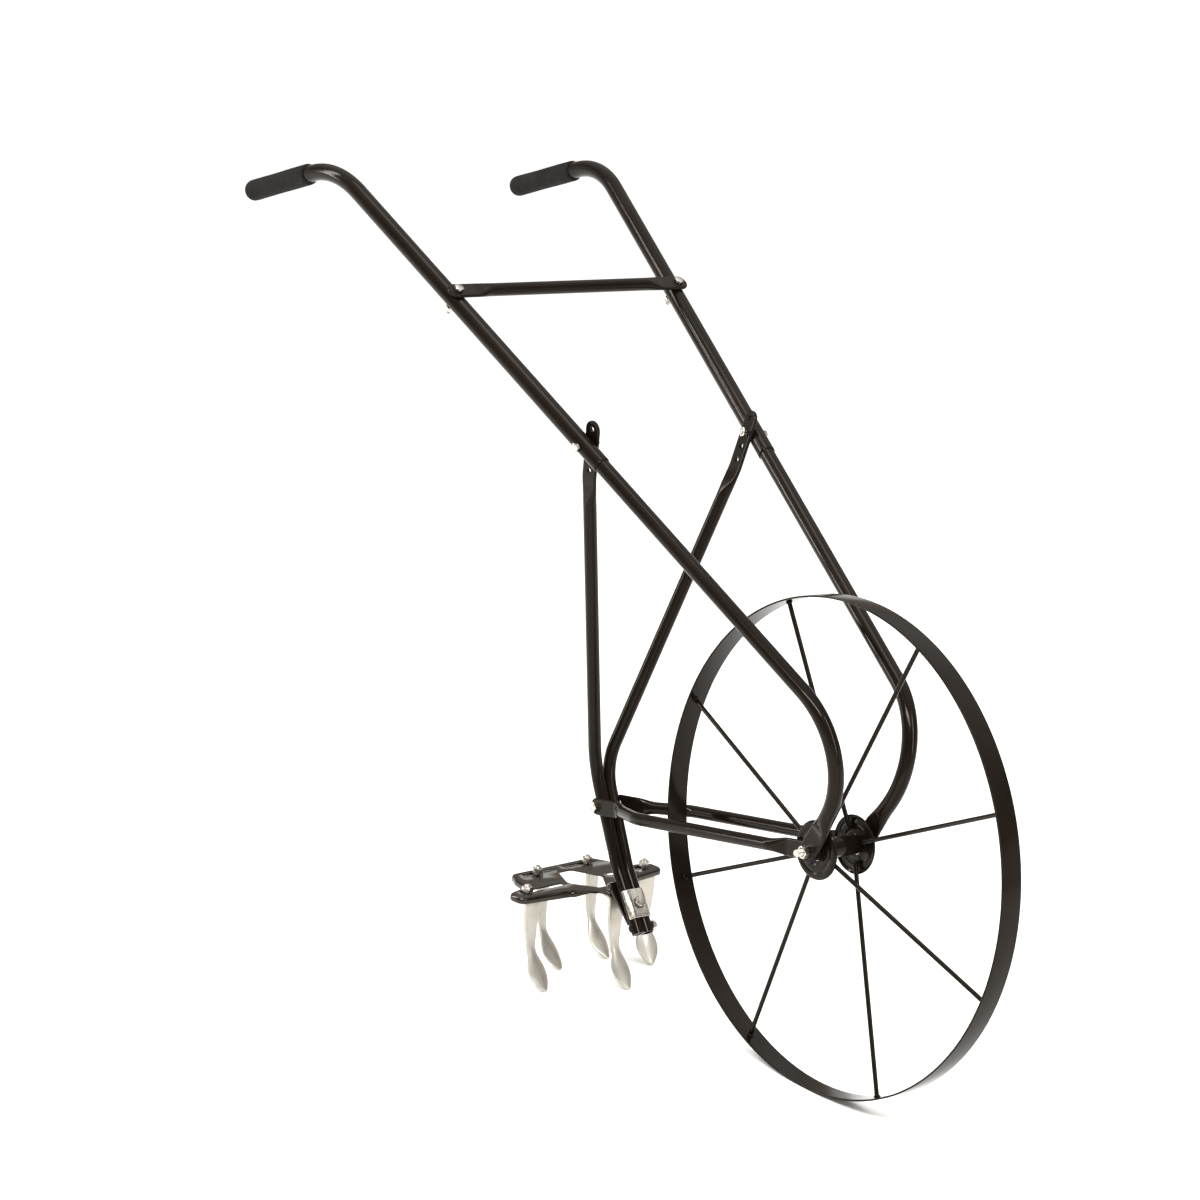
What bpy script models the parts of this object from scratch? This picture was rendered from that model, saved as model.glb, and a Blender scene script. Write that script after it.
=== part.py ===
"""High-wheel garden cultivator: one spoked steel wheel, two handles and a five-tine head.

Frame: metres, +X forward (the way it is pushed), +Y to the user's left, +Z up.
The origin is on the ground, under the middle of the bounding box.
Profiles below are laid out from the axle: forward, left and up from the wheel's centre.
"""
import math

import bmesh
import bpy
from mathutils import Matrix, Vector

# ---- driving dimensions -------------------------------------------------------------------
GAP = 0.0003                    # clearance between pieces that touch

WHEEL_DIAMETER = 0.6096         # a 24 inch wheel
AXLE_AHEAD = 0.3694             # axle, forward of the origin
RIM_WIDTH = 0.0302
RIM_THICKNESS = 0.0024
RIM_SEGMENTS = 72
SPOKE_RADIUS = 0.0029
# degrees above forward, hand-set on the rim: to the left flange and the right one in turn
SPOKE_ANGLES = (24.6, 68.8, 116.2, 159.2, 204.3, 247.8, 292.8, 340.4)
SPOKE_HUB_RADIUS = 0.0190       # where a spoke ends on its flange
SPOKE_HUB_SIDE = 0.0270
SPOKE_RIM_SIDE = 0.0030
BARREL_RADIUS = 0.0122
BARREL_BORE = 0.0092
BARREL_HALF = 0.0338
FLANGE_RADIUS = 0.0365
FLANGE_SIDE = 0.0305            # inner face of a flange
FLANGE_THICKNESS = 0.0020
BUSH_BORE = 0.0073
SLEEVE_RADIUS = 0.0072
SLEEVE_BORE = 0.0051

HANDLE_LOW = Vector((-0.0042, 0.0743, 0.2000))      # a point near the low end of the straight run
HANDLE_HIGH = Vector((-0.8726, 0.2192, 0.7000))     # a point beyond the high end of it
HANDLE_FOOT = Vector((0.0160, 0.0438, 0.0280))      # where the flat lower end starts to lean out
HANDLE_BEND_TOP_X = -0.8520
HANDLE_BEND_LOW_X = 0.0856
HANDLE_TAIL = Vector((-1.0378, 0.2187, 0.6258))     # rear end of the tube, inside the grip
BEND_LOW_RADIUS = 0.1075
BEND_TOP_RADIUS = 0.1150
UPPER_TUBE_RADIUS = 0.0112
UPPER_TUBE_WALL = 0.0011
LOWER_TUBE_RADIUS = 0.0098
LOWER_TUBE_WALL = 0.0015
SEAM_X = -0.3502                # low end of the upper tube
OVERLAP_END_X = -0.4300         # high end of the lower tube, inside the upper one
GRIP_RADIUS = 0.0142
GRIP_LENGTH = 0.1400
GRIP_END = 0.0040               # closed end, behind the tube

LEG_RADIUS = 0.0085             # braces and crossbar are this tube
STAY_RADIUS = 0.0080
LEG_WALL = 0.0015
FLAT_HALF = 0.0022              # half the thickness of a flattened end
BRACE_BOLT_X = -0.3832
BRACE_HOLE_PITCH = 0.0185
BRACE_LEAN = 0.40               # how far the strap leans from upright towards the line of its leg
CROSSBAR_BOLT_X = -0.6228

KNEE = Vector((-0.4624, LEG_RADIUS + GAP / 2, -0.0313))
STAY_JOINT = Vector((-0.4378, LEG_RADIUS + GAP / 2, -0.0775))
LOWER_BEND = Vector((-0.3976, 0.0072, -0.1510))
FOOT = Vector((-0.3433, 0.0072, -0.2226))
STAY_SIDE = 0.0445              # stays, from the middle plane
STAY_HUB_SIDE = 0.0391          # flat front ends of the stays, inside the handles' ends

CLAMP_FROM = 0.0320             # along the foot, from the lower bend
CLAMP_TO = 0.0705
CLAMP_THICKNESS = 0.0025
CLAMP_WRAP = 66.0               # degrees round each leg
FOOT_BOLT_AT = 0.0810

TOOL_TURN = 6.7                 # degrees that the head stands turned in its clamp
TOOL_PIVOT = Vector((-0.3350, 0, 0))
PLATE_TOP = -0.1820
PLATE_THICKNESS = 0.0028
PLATE_DEPTH = 0.0095            # with its rolled-down edge
SHANK_THICKNESS = 0.0040
TINE_THICKNESS = 0.0050
SLOT_HALF = 0.0045

# laid out before the head is turned: bolt forward, bolt left, turn about the bolt in degrees
FRONT_ROW = -0.4556
REAR_ROW = -0.5052
TINES = {
    "tine_1": (FRONT_ROW, -0.1035, 0.0),
    "tine_2": (REAR_ROW, -0.0389, 13.0),
    "tine_3": (-0.4058, 0.0, -3.0),
    "tine_4": (REAR_ROW, 0.0513, 6.0),
    "tine_5": (FRONT_ROW, 0.1085, -20.0),
}
FRONT_SLOT = (0.0430, 0.1095)   # slot ends, left and right alike
REAR_SLOT = (0.0120, 0.0600)

# hexagon across flats, head height, shaft radius, nut height
SMALL_BOLT = (0.0111, 0.0045, 0.00315, 0.0055)
MIDDLE_BOLT = (0.0127, 0.0052, 0.0039, 0.0067)
AXLE_BOLT = (0.0143, 0.0062, 0.00475, 0.0082)

AXLE = Vector((AXLE_AHEAD, 0, WHEEL_DIAMETER / 2))
ACROSS = Vector((0, 1, 0))
UP = Vector((0, 0, 1))

# ---- scene, collections and materials -------------------------------------------------------
for old in list(bpy.data.objects):
    bpy.data.objects.remove(old)
PARTS = bpy.data.collections.new("garden_cultivator")
CUTTERS = bpy.data.collections.new("cutters")
bpy.context.scene.collection.children.link(PARTS)
bpy.context.scene.collection.children.link(CUTTERS)


def material(name, colour, roughness, metallic):
    made = bpy.data.materials.new(name)
    made.use_nodes = True
    shader = made.node_tree.nodes["Principled BSDF"]
    shader.inputs["Base Color"].default_value = (*colour, 1)
    shader.inputs["Roughness"].default_value = roughness
    shader.inputs["Metallic"].default_value = metallic
    return made


BLACK_PAINT = material("black_enamel", (0.012, 0.010, 0.009), 0.28, 0.0)
ZINC = material("zinc_plated_steel", (0.62, 0.60, 0.54), 0.32, 1.0)
TINE_PAINT = material("silver_paint", (0.62, 0.60, 0.56), 0.45, 0.3)
GRIP_FOAM = material("grip_rubber", (0.010, 0.010, 0.010), 0.85, 0.0)
BRONZE = material("sintered_bronze", (0.42, 0.27, 0.13), 0.45, 1.0)


# ---- mesh helpers -----------------------------------------------------------------------------
def add_object(name, bm, finish, pivot=None):
    """Closes off a bmesh laid out from the axle into a named object with outward faces."""
    bmesh.ops.recalc_face_normals(bm, faces=bm.faces)
    if bm.calc_volume(signed=True) < 0:
        bmesh.ops.reverse_faces(bm, faces=bm.faces)
    pivot = Vector((0, 0, 0)) if pivot is None else pivot
    bmesh.ops.translate(bm, verts=bm.verts, vec=-pivot)
    mesh = bpy.data.meshes.new(name)
    bm.to_mesh(mesh)
    bm.free()
    mesh.shade_smooth()
    mesh.set_sharp_from_angle(angle=math.radians(35))
    mesh.materials.append(finish)
    made = bpy.data.objects.new(name, mesh)
    made.location = AXLE + pivot
    PARTS.objects.link(made)
    return made


def skin(bm, rings):
    """Quads between rings of points; returns the rings of vertices."""
    made = [[bm.verts.new(point) for point in ring] for ring in rings]
    for ring, after in zip(made, made[1:]):
        for i in range(len(ring)):
            j = (i + 1) % len(ring)
            bm.faces.new((ring[i], ring[j], after[j], after[i]))
    return made


def bridge(bm, ring, other):
    for i in range(len(ring)):
        j = (i + 1) % len(ring)
        bm.faces.new((ring[i], ring[j], other[j], other[i]))


def solid(name, rings, finish, bore=None, through=False, pivot=None):
    """A loft through rings; a bore is open at the first ring, and at the last if it goes through."""
    bm = bmesh.new()
    outer = skin(bm, rings)
    if bore is None:
        bm.faces.new(outer[0])
        bm.faces.new(outer[-1])
    else:
        inner = skin(bm, bore)
        bridge(bm, outer[0], inner[0])
        if through:
            bridge(bm, outer[-1], inner[-1])
        else:
            bm.faces.new(outer[-1])
            bm.faces.new(inner[-1])
    return add_object(name, bm, finish, pivot)


def oval(half_thickness, half_width, sides):
    """Points evenly round a flat-sided oval; a circle when both halves are equal."""
    straight = half_width - half_thickness
    quarter = straight + half_thickness * math.pi / 2
    points = []
    for i in range(sides):
        quadrant, part = divmod(4 * i, sides)
        travel = quarter * part / sides
        if quadrant % 2:
            travel = quarter - travel
        if travel <= straight:
            thick, wide = half_thickness, travel
        else:
            angle = (travel - straight) / half_thickness
            thick, wide = half_thickness * math.cos(angle), straight + half_thickness * math.sin(angle)
        points.append((thick if quadrant in (0, 3) else -thick, wide if quadrant < 2 else -wide))
    return points


def circle(radius, sides):
    return [(radius * math.cos(2 * math.pi * i / sides), radius * math.sin(2 * math.pi * i / sides))
            for i in range(sides)]


def hexagon(across_flats):
    """Twelve points: the corners and the middles of the flats."""
    corner = across_flats / 2 / math.cos(math.pi / 6)
    return [(radius * math.cos(math.pi * i / 6), radius * math.sin(math.pi * i / 6))
            for i, radius in enumerate([corner, across_flats / 2] * 6)]


def frame_on(direction, reference):
    """Two unit vectors square to a direction, the first as near the reference as it can be."""
    direction = direction.normalized()
    first = (reference - direction * reference.dot(direction)).normalized()
    return first, direction.cross(first)


def placed(points, centre, first, second):
    return [centre + first * u + second * v for u, v in points]


def rounded_path(corners, radii, pieces):
    """Straight runs joined by arcs, one radius for each inner corner."""
    points = [corners[0]]
    for before, corner, after, radius in zip(corners, corners[1:], corners[2:], radii):
        back = (before - corner).normalized()
        on = (after - corner).normalized()
        half = back.angle(on) / 2
        centre = corner + (back + on).normalized() * radius / math.sin(half)
        arm = corner + back * radius / math.tan(half) - centre
        turn = math.pi - 2 * half
        axis = back.cross(arm)
        for i in range(pieces + 1):
            points.append(centre + Matrix.Rotation(turn * i / pieces, 3, axis) @ arm)
    points.append(corners[-1])
    return points


def travelled(points):
    lengths = [0.0]
    for point, after in zip(points, points[1:]):
        lengths.append(lengths[-1] + (after - point).length)
    return lengths


def with_stops(points, stops):
    """Adds points at given distances along a path; a negative distance counts from its end."""
    lengths = travelled(points)
    wanted = sorted(stop if stop >= 0 else lengths[-1] + stop for stop in stops)
    stations = list(zip(lengths, points))
    for stop in wanted:
        for i in range(len(lengths) - 1):
            if lengths[i] + 1e-5 < stop < lengths[i + 1] - 1e-5:
                share = (stop - lengths[i]) / (lengths[i + 1] - lengths[i])
                stations.append((stop, points[i].lerp(points[i + 1], share)))
    stations.sort(key=lambda station: station[0])
    return [point for _, point in stations]


def directions(points):
    runs = [(after - point).normalized() for point, after in zip(points, points[1:])]
    return [runs[0]] + [(a + b).normalized() for a, b in zip(runs, runs[1:])] + [runs[-1]]


END_ARCS = (20.0, 45.0, 68.0, 90.0)     # degrees round a flattened end's rounded tip


def flat_width(radius, half_thickness):
    """Half the width of a tube of this radius, pressed to this half thickness."""
    return half_thickness + math.pi * (radius - half_thickness) / 2


def end_stops(radius, flat, lean, from_end):
    """Distances of the stations that a flattened end needs: its round tip, its flat and its flare."""
    wide = flat_width(radius, FLAT_HALF)
    stops = [wide * (1 - math.cos(math.radians(angle))) for angle in END_ARCS] + [flat]
    stops += [flat + lean * share for share in (0.25, 0.5, 0.75, 1.0)]
    return [-stop if from_end else stop for stop in stops]


def pressed_section(radius, sides, distance, flat, lean):
    """The section of a tube at a distance from its flattened end."""
    share = min(max((distance - flat) / lean, 0.0), 1.0)
    share = share * share * (3 - 2 * share)
    thick = FLAT_HALF + (radius - FLAT_HALF) * share
    wide = flat_width(radius, thick)
    if distance < wide and share == 0.0:
        wide *= math.sqrt(max(1 - ((wide - distance) / wide) ** 2, 0.02))
    return oval(thick, wide, sides)


def mirrored(points, side):
    return [Vector((point.x, point.y * side, point.z)) for point in points]


def turned(name, profile, centre, axis, segments, finish, reference=UP):
    """A ring or disc spun from a closed profile of (radius, along) points."""
    first, _ = frame_on(axis, reference)
    axis = axis.normalized()
    bm = bmesh.new()
    points = [bm.verts.new(centre + first * radius + axis * along) for radius, along in profile]
    edges = [bm.edges.new((point, after)) for point, after in zip(points, points[1:] + points[:1])]
    bmesh.ops.spin(bm, geom=points + edges, cent=centre, axis=axis, dvec=(0, 0, 0),
                   angle=2 * math.pi, steps=segments, use_merge=True)
    return add_object(name, bm, finish)


def rod(name, start, end, radius, sides, finish):
    bm = bmesh.new()
    run = end - start
    placement = Matrix.Translation((start + end) / 2) @ run.to_track_quat("Z", "Y").to_matrix().to_4x4()
    bmesh.ops.create_cone(bm, cap_ends=True, segments=sides, radius1=radius, radius2=radius,
                          depth=run.length, matrix=placement)
    return add_object(name, bm, finish)


def bolt(name, size, seat, axis, grip, finish=ZINC, pivot=None, round_head=None):
    """A bolt whose head bears on the seat; its shaft runs along the axis for the grip length."""
    across_flats, head, radius, _ = size
    first, second = frame_on(axis, UP if abs(axis.normalized().dot(UP)) < 0.9 else Vector((1, 0, 0)))
    axis = axis.normalized()
    outline = hexagon(across_flats)
    top = outline
    if round_head:
        outline = circle(round_head, 12)
        top = circle(round_head * 0.55, 12)
    rings = [placed(top, seat - axis * head, first, second)]
    if round_head:
        rings.append(placed(outline, seat - axis * head * 0.35, first, second))
    rings += [placed(outline, seat, first, second),
              placed(circle(radius, 12), seat, first, second),
              placed(circle(radius, 12), seat + axis * grip, first, second)]
    return solid(name, rings, finish, pivot=pivot)


def nut(name, size, seat, axis, finish=ZINC, pivot=None):
    """A nut that stands on the seat and rises along the axis."""
    across_flats, _, radius, height = size
    first, second = frame_on(axis, UP if abs(axis.normalized().dot(UP)) < 0.9 else Vector((1, 0, 0)))
    ends = [seat, seat + axis.normalized() * height]
    outer = [placed(hexagon(across_flats), end, first, second) for end in ends]
    inner = [placed(circle(radius + 1.15 * GAP, 12), end, first, second) for end in ends]
    return solid(name, outer, finish, bore=inner, through=True, pivot=pivot)


def drill(target, centre, axis, radius, depth):
    """Cuts a round hole, centred on a point laid out from the axle."""
    bm = bmesh.new()
    bmesh.ops.create_cone(bm, cap_ends=True, segments=12, radius1=radius, radius2=radius, depth=depth)
    turn = axis.to_track_quat("Z", "Y").to_matrix().to_4x4()
    cut_with(target, bm, Matrix.Translation(AXLE + centre) @ turn)


def cut_with(target, bm, placement):
    mesh = bpy.data.meshes.new(target.name + "_cut")
    bm.to_mesh(mesh)
    bm.free()
    cutter = bpy.data.objects.new(mesh.name, mesh)
    cutter.matrix_world = placement
    cutter.hide_render = True
    cutter.display_type = "WIRE"
    CUTTERS.objects.link(cutter)
    cut = target.modifiers.new("cut", "BOOLEAN")
    cut.operation = "DIFFERENCE"
    cut.solver = "EXACT"
    cut.object = cutter


def hole_radius(size):
    return size[2] + 1.2 * GAP


# ---- wheel --------------------------------------------------------------------------------------
def wheel():
    outer = WHEEL_DIAMETER / 2
    inner = outer - RIM_THICKNESS
    half = RIM_WIDTH / 2
    rim = [(inner, -half), (outer, -half), (outer, half), (inner, half)]
    turned("wheel_rim", rim, Vector((0, 0, 0)), ACROSS, RIM_SEGMENTS, BLACK_PAINT)
    for i, bearing in enumerate(SPOKE_ANGLES):
        angle = math.radians(bearing)
        arm = Vector((math.cos(angle), 0, math.sin(angle)))
        side = 1 if i % 2 == 0 else -1
        hub_end = arm * SPOKE_HUB_RADIUS + ACROSS * side * SPOKE_HUB_SIDE
        rim_end = arm * (inner - 3 * GAP) + ACROSS * side * SPOKE_RIM_SIDE
        rod(f"spoke_{i + 1}", hub_end, rim_end, SPOKE_RADIUS, 8, BLACK_PAINT)
    barrel = [(BARREL_BORE, -BARREL_HALF), (BARREL_RADIUS, -BARREL_HALF),
              (BARREL_RADIUS, BARREL_HALF), (BARREL_BORE, BARREL_HALF)]
    turned("hub_barrel", barrel, Vector((0, 0, 0)), ACROSS, 24, BLACK_PAINT)
    hole = BARREL_RADIUS + GAP
    flange = [(hole, 0), (0.0240, 0), (0.0275, 0.0012), (0.0335, 0.0012), (FLANGE_RADIUS, -0.0016),
              (FLANGE_RADIUS, 0.0012), (0.0340, 0.0012 + FLANGE_THICKNESS),
              (0.0270, 0.0012 + FLANGE_THICKNESS),
              (0.0235, FLANGE_THICKNESS), (hole, FLANGE_THICKNESS)]
    flared = BARREL_BORE + 0.0022
    bush = [(BUSH_BORE, 0), (BARREL_BORE - GAP, 0), (BARREL_BORE - GAP, 0.0180), (flared, 0.0180),
            (flared, 0.0200), (BUSH_BORE, 0.0200)]
    for word, side in (("left", 1), ("right", -1)):
        seat = ACROSS * side * FLANGE_SIDE
        turned(f"hub_flange_{word}", flange, seat, ACROSS * side, 32, BLACK_PAINT)
        seat = ACROSS * side * (BARREL_HALF + GAP - 0.0180)
        turned(f"hub_bush_{word}", bush, seat, ACROSS * side, 24, BRONZE)


# ---- axle ----------------------------------------------------------------------------------------
def axle():
    strap = 2 * FLAT_HALF
    half = STAY_HUB_SIDE - strap / 2 - GAP
    sleeve = [(SLEEVE_BORE, -half), (SLEEVE_RADIUS, -half), (SLEEVE_RADIUS, half), (SLEEVE_BORE, half)]
    turned("axle_sleeve", sleeve, Vector((0, 0, 0)), ACROSS, 24, ZINC)
    outside = HANDLE_FOOT.y + strap / 2 + GAP
    bolt("axle_bolt", AXLE_BOLT, ACROSS * outside, -ACROSS, 2 * outside + 0.0170)
    nut("axle_nut", AXLE_BOLT, -ACROSS * outside, -ACROSS)


# ---- handles -------------------------------------------------------------------------------------
def handle_at(x):
    """The point of the left handle's straight run at a distance forward of the axle."""
    return HANDLE_LOW.lerp(HANDLE_HIGH, (x - HANDLE_LOW.x) / (HANDLE_HIGH.x - HANDLE_LOW.x))


HANDLE_RUN = (HANDLE_HIGH - HANDLE_LOW).normalized()
HANDLE_OUTWARD = (ACROSS - HANDLE_RUN * ACROSS.dot(HANDLE_RUN)).normalized()
CROSSBAR_NORMAL = ACROSS.cross(Vector((HANDLE_RUN.x, 0, HANDLE_RUN.z))).normalized()


def tube_rings(points, radius, sides):
    rings = []
    for point, direction in zip(points, directions(points)):
        first, second = frame_on(direction, ACROSS)
        rings.append(placed(circle(radius, sides), point, first, second))
    return rings


def pressed_rings(points, radius, sides, start=None, end=None, reference=None):
    """Rings of a tube with one or both ends pressed flat; start and end are (flat, lean) lengths."""
    lengths = travelled(points)
    rings = []
    for point, length, direction in zip(points, lengths, directions(points)):
        first, second = frame_on(direction, reference(length) if reference else ACROSS)
        section = circle(radius, sides)
        if start and length < start[0] + start[1]:
            section = pressed_section(radius, sides, length, *start)
        if end and lengths[-1] - length < end[0] + end[1]:
            section = pressed_section(radius, sides, lengths[-1] - length, *end)
        rings.append(placed(section, point, first, second))
    return rings


def handles():
    flat, lean = 0.0400, 0.0350
    corner = handle_at(HANDLE_BEND_LOW_X)
    tip = Vector((0, HANDLE_FOOT.y, 0))
    outward = (Vector((HANDLE_FOOT.x, 0, HANDLE_FOOT.z))).normalized()
    tip -= outward * flat_width(LOWER_TUBE_RADIUS, FLAT_HALF)
    low = rounded_path([handle_at(OVERLAP_END_X), corner, HANDLE_FOOT, tip], (BEND_LOW_RADIUS, 0.03), 8)
    low = with_stops(low, end_stops(LOWER_TUBE_RADIUS, flat, lean, True))
    low.pop()
    low_bore = [point for point, length in zip(low, travelled(low))
                if length < travelled(low)[-1] - flat - lean]
    top = rounded_path([handle_at(SEAM_X), handle_at(HANDLE_BEND_TOP_X), HANDLE_TAIL], (BEND_TOP_RADIUS,), 9)
    reach = travelled(top)[-1]
    grip = with_stops(top, [reach - GRIP_LENGTH + GRIP_END])
    start = reach - GRIP_LENGTH + GRIP_END - 1e-5
    grip = [point for point, length in zip(grip, travelled(grip)) if length > start]
    for word, side in (("left", 1), ("right", -1)):
        path, bore = mirrored(low, side), mirrored(low_bore, side)
        rings = pressed_rings(path, LOWER_TUBE_RADIUS, 12, end=(flat, lean))
        made = solid(f"lower_handle_{word}", rings, BLACK_PAINT,
                     bore=tube_rings(bore, LOWER_TUBE_RADIUS - LOWER_TUBE_WALL, 12))
        drill(made, Vector((0, side * HANDLE_FOOT.y, 0)), ACROSS, hole_radius(AXLE_BOLT), 0.02)
        outward = strap_frame()[0]
        across = Vector((outward.x, outward.y * side, outward.z))
        joint = mirrored([handle_at(BRACE_BOLT_X)], side)[0]
        drill(made, joint, across, hole_radius(SMALL_BOLT), 0.04)
        path = mirrored(top, side)
        made = solid(f"upper_handle_{word}", tube_rings(path, UPPER_TUBE_RADIUS, 12), BLACK_PAINT,
                     bore=tube_rings(path, UPPER_TUBE_RADIUS - UPPER_TUBE_WALL, 12), through=True)
        drill(made, joint, across, hole_radius(SMALL_BOLT), 0.04)
        upper_joint = mirrored([handle_at(CROSSBAR_BOLT_X)], side)[0]
        drill(made, upper_joint, CROSSBAR_NORMAL, hole_radius(SMALL_BOLT), 0.04)
        grips(word, mirrored(grip, side))


def grips(word, path):
    """A soft sleeve over the tube's rear end, closed and rounded behind it."""
    run = (path[-1] - path[-2]).normalized()
    outer = tube_rings(path, GRIP_RADIUS, 16)
    first, second = frame_on(run, ACROSS)
    for ahead, share in ((-0.0040, 1.0), (0.0, 0.93), (0.0026, 0.75), (GRIP_END, 0.4)):
        ring = placed(circle(GRIP_RADIUS * share, 16), path[-1] + run * ahead, first, second)
        outer.append(ring)
    outer.pop(len(path) - 1)
    bore = tube_rings(path[:-1] + [path[-1] + run * GAP], UPPER_TUBE_RADIUS + GAP, 16)
    solid(f"grip_{word}", outer, GRIP_FOAM, bore=bore)


# ---- crossbar -------------------------------------------------------------------------------------
def crossbar():
    flat, lean, beyond = 0.0400, 0.0300, 0.0140
    joint = handle_at(CROSSBAR_BOLT_X)
    above = CROSSBAR_NORMAL * (UPPER_TUBE_RADIUS + GAP + FLAT_HALF)
    end = joint + above + ACROSS * beyond
    path = with_stops([Vector((end.x, -end.y, end.z)), end],
                      end_stops(LEG_RADIUS, flat, lean, False) + end_stops(LEG_RADIUS, flat, lean, True))
    path = path[1:-1]
    rings = pressed_rings(path, LEG_RADIUS, 12, start=(flat, lean), end=(flat, lean),
                          reference=lambda length: CROSSBAR_NORMAL)
    made = solid("crossbar", rings, BLACK_PAINT)
    for word, side in (("left", 1), ("right", -1)):
        centre = mirrored([joint], side)[0]
        drill(made, centre + above, CROSSBAR_NORMAL, hole_radius(SMALL_BOLT), 0.03)
        seat = centre + CROSSBAR_NORMAL * (UPPER_TUBE_RADIUS + 2 * GAP + 2 * FLAT_HALF)
        under = centre - CROSSBAR_NORMAL * (UPPER_TUBE_RADIUS + GAP)
        bolt(f"crossbar_bolt_{word}", SMALL_BOLT, seat, -CROSSBAR_NORMAL, (seat - under).length + 0.0110)
        nut(f"crossbar_nut_{word}", SMALL_BOLT, under, -CROSSBAR_NORMAL)


# ---- braces (the two long legs) and stays ------------------------------------------------------------
def foot_frame():
    """Along the foot, square to it forwards, and the lower bend on the middle plane."""
    along = Vector((FOOT.x - LOWER_BEND.x, 0, FOOT.z - LOWER_BEND.z)).normalized()
    return along, along.cross(ACROSS), Vector((LOWER_BEND.x, 0, LOWER_BEND.z))


def press_together(ring, side, gap):
    """Keeps a leg on its own side of the middle plane, where the two are squeezed together."""
    return [Vector((point.x, side * max(point.y * side, gap), point.z)) for point in ring]


def strap_frame():
    """The left strap's outward normal, its downward direction and its middle at the brace bolt."""
    joint = handle_at(BRACE_BOLT_X)
    down = (KNEE - joint).normalized()
    flush = HANDLE_RUN.cross(down).normalized()
    flush *= math.copysign(1, flush.y)
    outward = HANDLE_OUTWARD.lerp(flush, BRACE_LEAN).normalized()
    centre = joint - outward * (UPPER_TUBE_RADIUS + GAP + FLAT_HALF)
    down = KNEE - centre
    down = (down - outward * down.dot(outward)).normalized()
    return outward, down, centre


def braces():
    flat_below, lean, tip, bend_below = 0.0550, 0.0350, 0.0105, 0.0480
    outward, down, strap_at = strap_frame()
    top = strap_at - down * (BRACE_HOLE_PITCH + tip)
    flat = BRACE_HOLE_PITCH + tip + flat_below
    corners = [top, strap_at + down * bend_below, KNEE, LOWER_BEND, FOOT]
    path = rounded_path(corners, (0.06, 0.09, 0.10), 5)
    path = with_stops(path, end_stops(LEG_RADIUS, flat, lean, False))[1:]
    path = with_stops(path, [-0.0160])
    along, forward, bend = foot_frame()
    clamp_middle = bend + along * (CLAMP_FROM + CLAMP_TO) / 2
    for word, side in (("left", 1), ("right", -1)):
        across = Vector((outward.x, outward.y * side, outward.z))
        upright = Vector((0, side, 0))

        def reference(length):
            return across.lerp(upright, min(max((length - flat) / lean, 0.0), 1.0))

        leg = mirrored(path, side)
        rings = pressed_rings(leg, LEG_RADIUS, 12, start=(flat, lean), reference=reference)
        rings = [press_together(ring, side, GAP / 2) for ring in rings]
        lengths = travelled(leg)
        hollow = [i for i, length in enumerate(lengths) if length > flat + lean + 0.002]
        bore = pressed_rings([leg[i] for i in hollow], LEG_RADIUS - LEG_WALL, 12)
        bore = [press_together(ring, side, GAP / 2 + LEG_WALL) for ring in bore]
        made = solid(f"brace_{word}", rings[::-1], BLACK_PAINT, bore=bore[::-1])
        strap_down = Vector((down.x, down.y * side, down.z))
        strap_centre = mirrored([strap_at], side)[0]
        for place in (-1, 0, 1, 2):
            hole_at = strap_centre + strap_down * BRACE_HOLE_PITCH * place
            drill(made, hole_at, across, hole_radius(SMALL_BOLT), 0.02)
        drill(made, STAY_JOINT, ACROSS, hole_radius(MIDDLE_BOLT), 0.10)
        drill(made, clamp_middle, forward, hole_radius(MIDDLE_BOLT), 0.06)
        drill(made, bend + along * FOOT_BOLT_AT, ACROSS, hole_radius(SMALL_BOLT), 0.08)
        seat = mirrored([handle_at(BRACE_BOLT_X)], side)[0] + across * (UPPER_TUBE_RADIUS + GAP)
        inside = strap_centre - across * (FLAT_HALF + GAP)
        bolt(f"brace_bolt_{word}", SMALL_BOLT, seat, -across, (seat - inside).length + 0.0080)
        nut(f"brace_nut_{word}", SMALL_BOLT, inside, -across)


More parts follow.
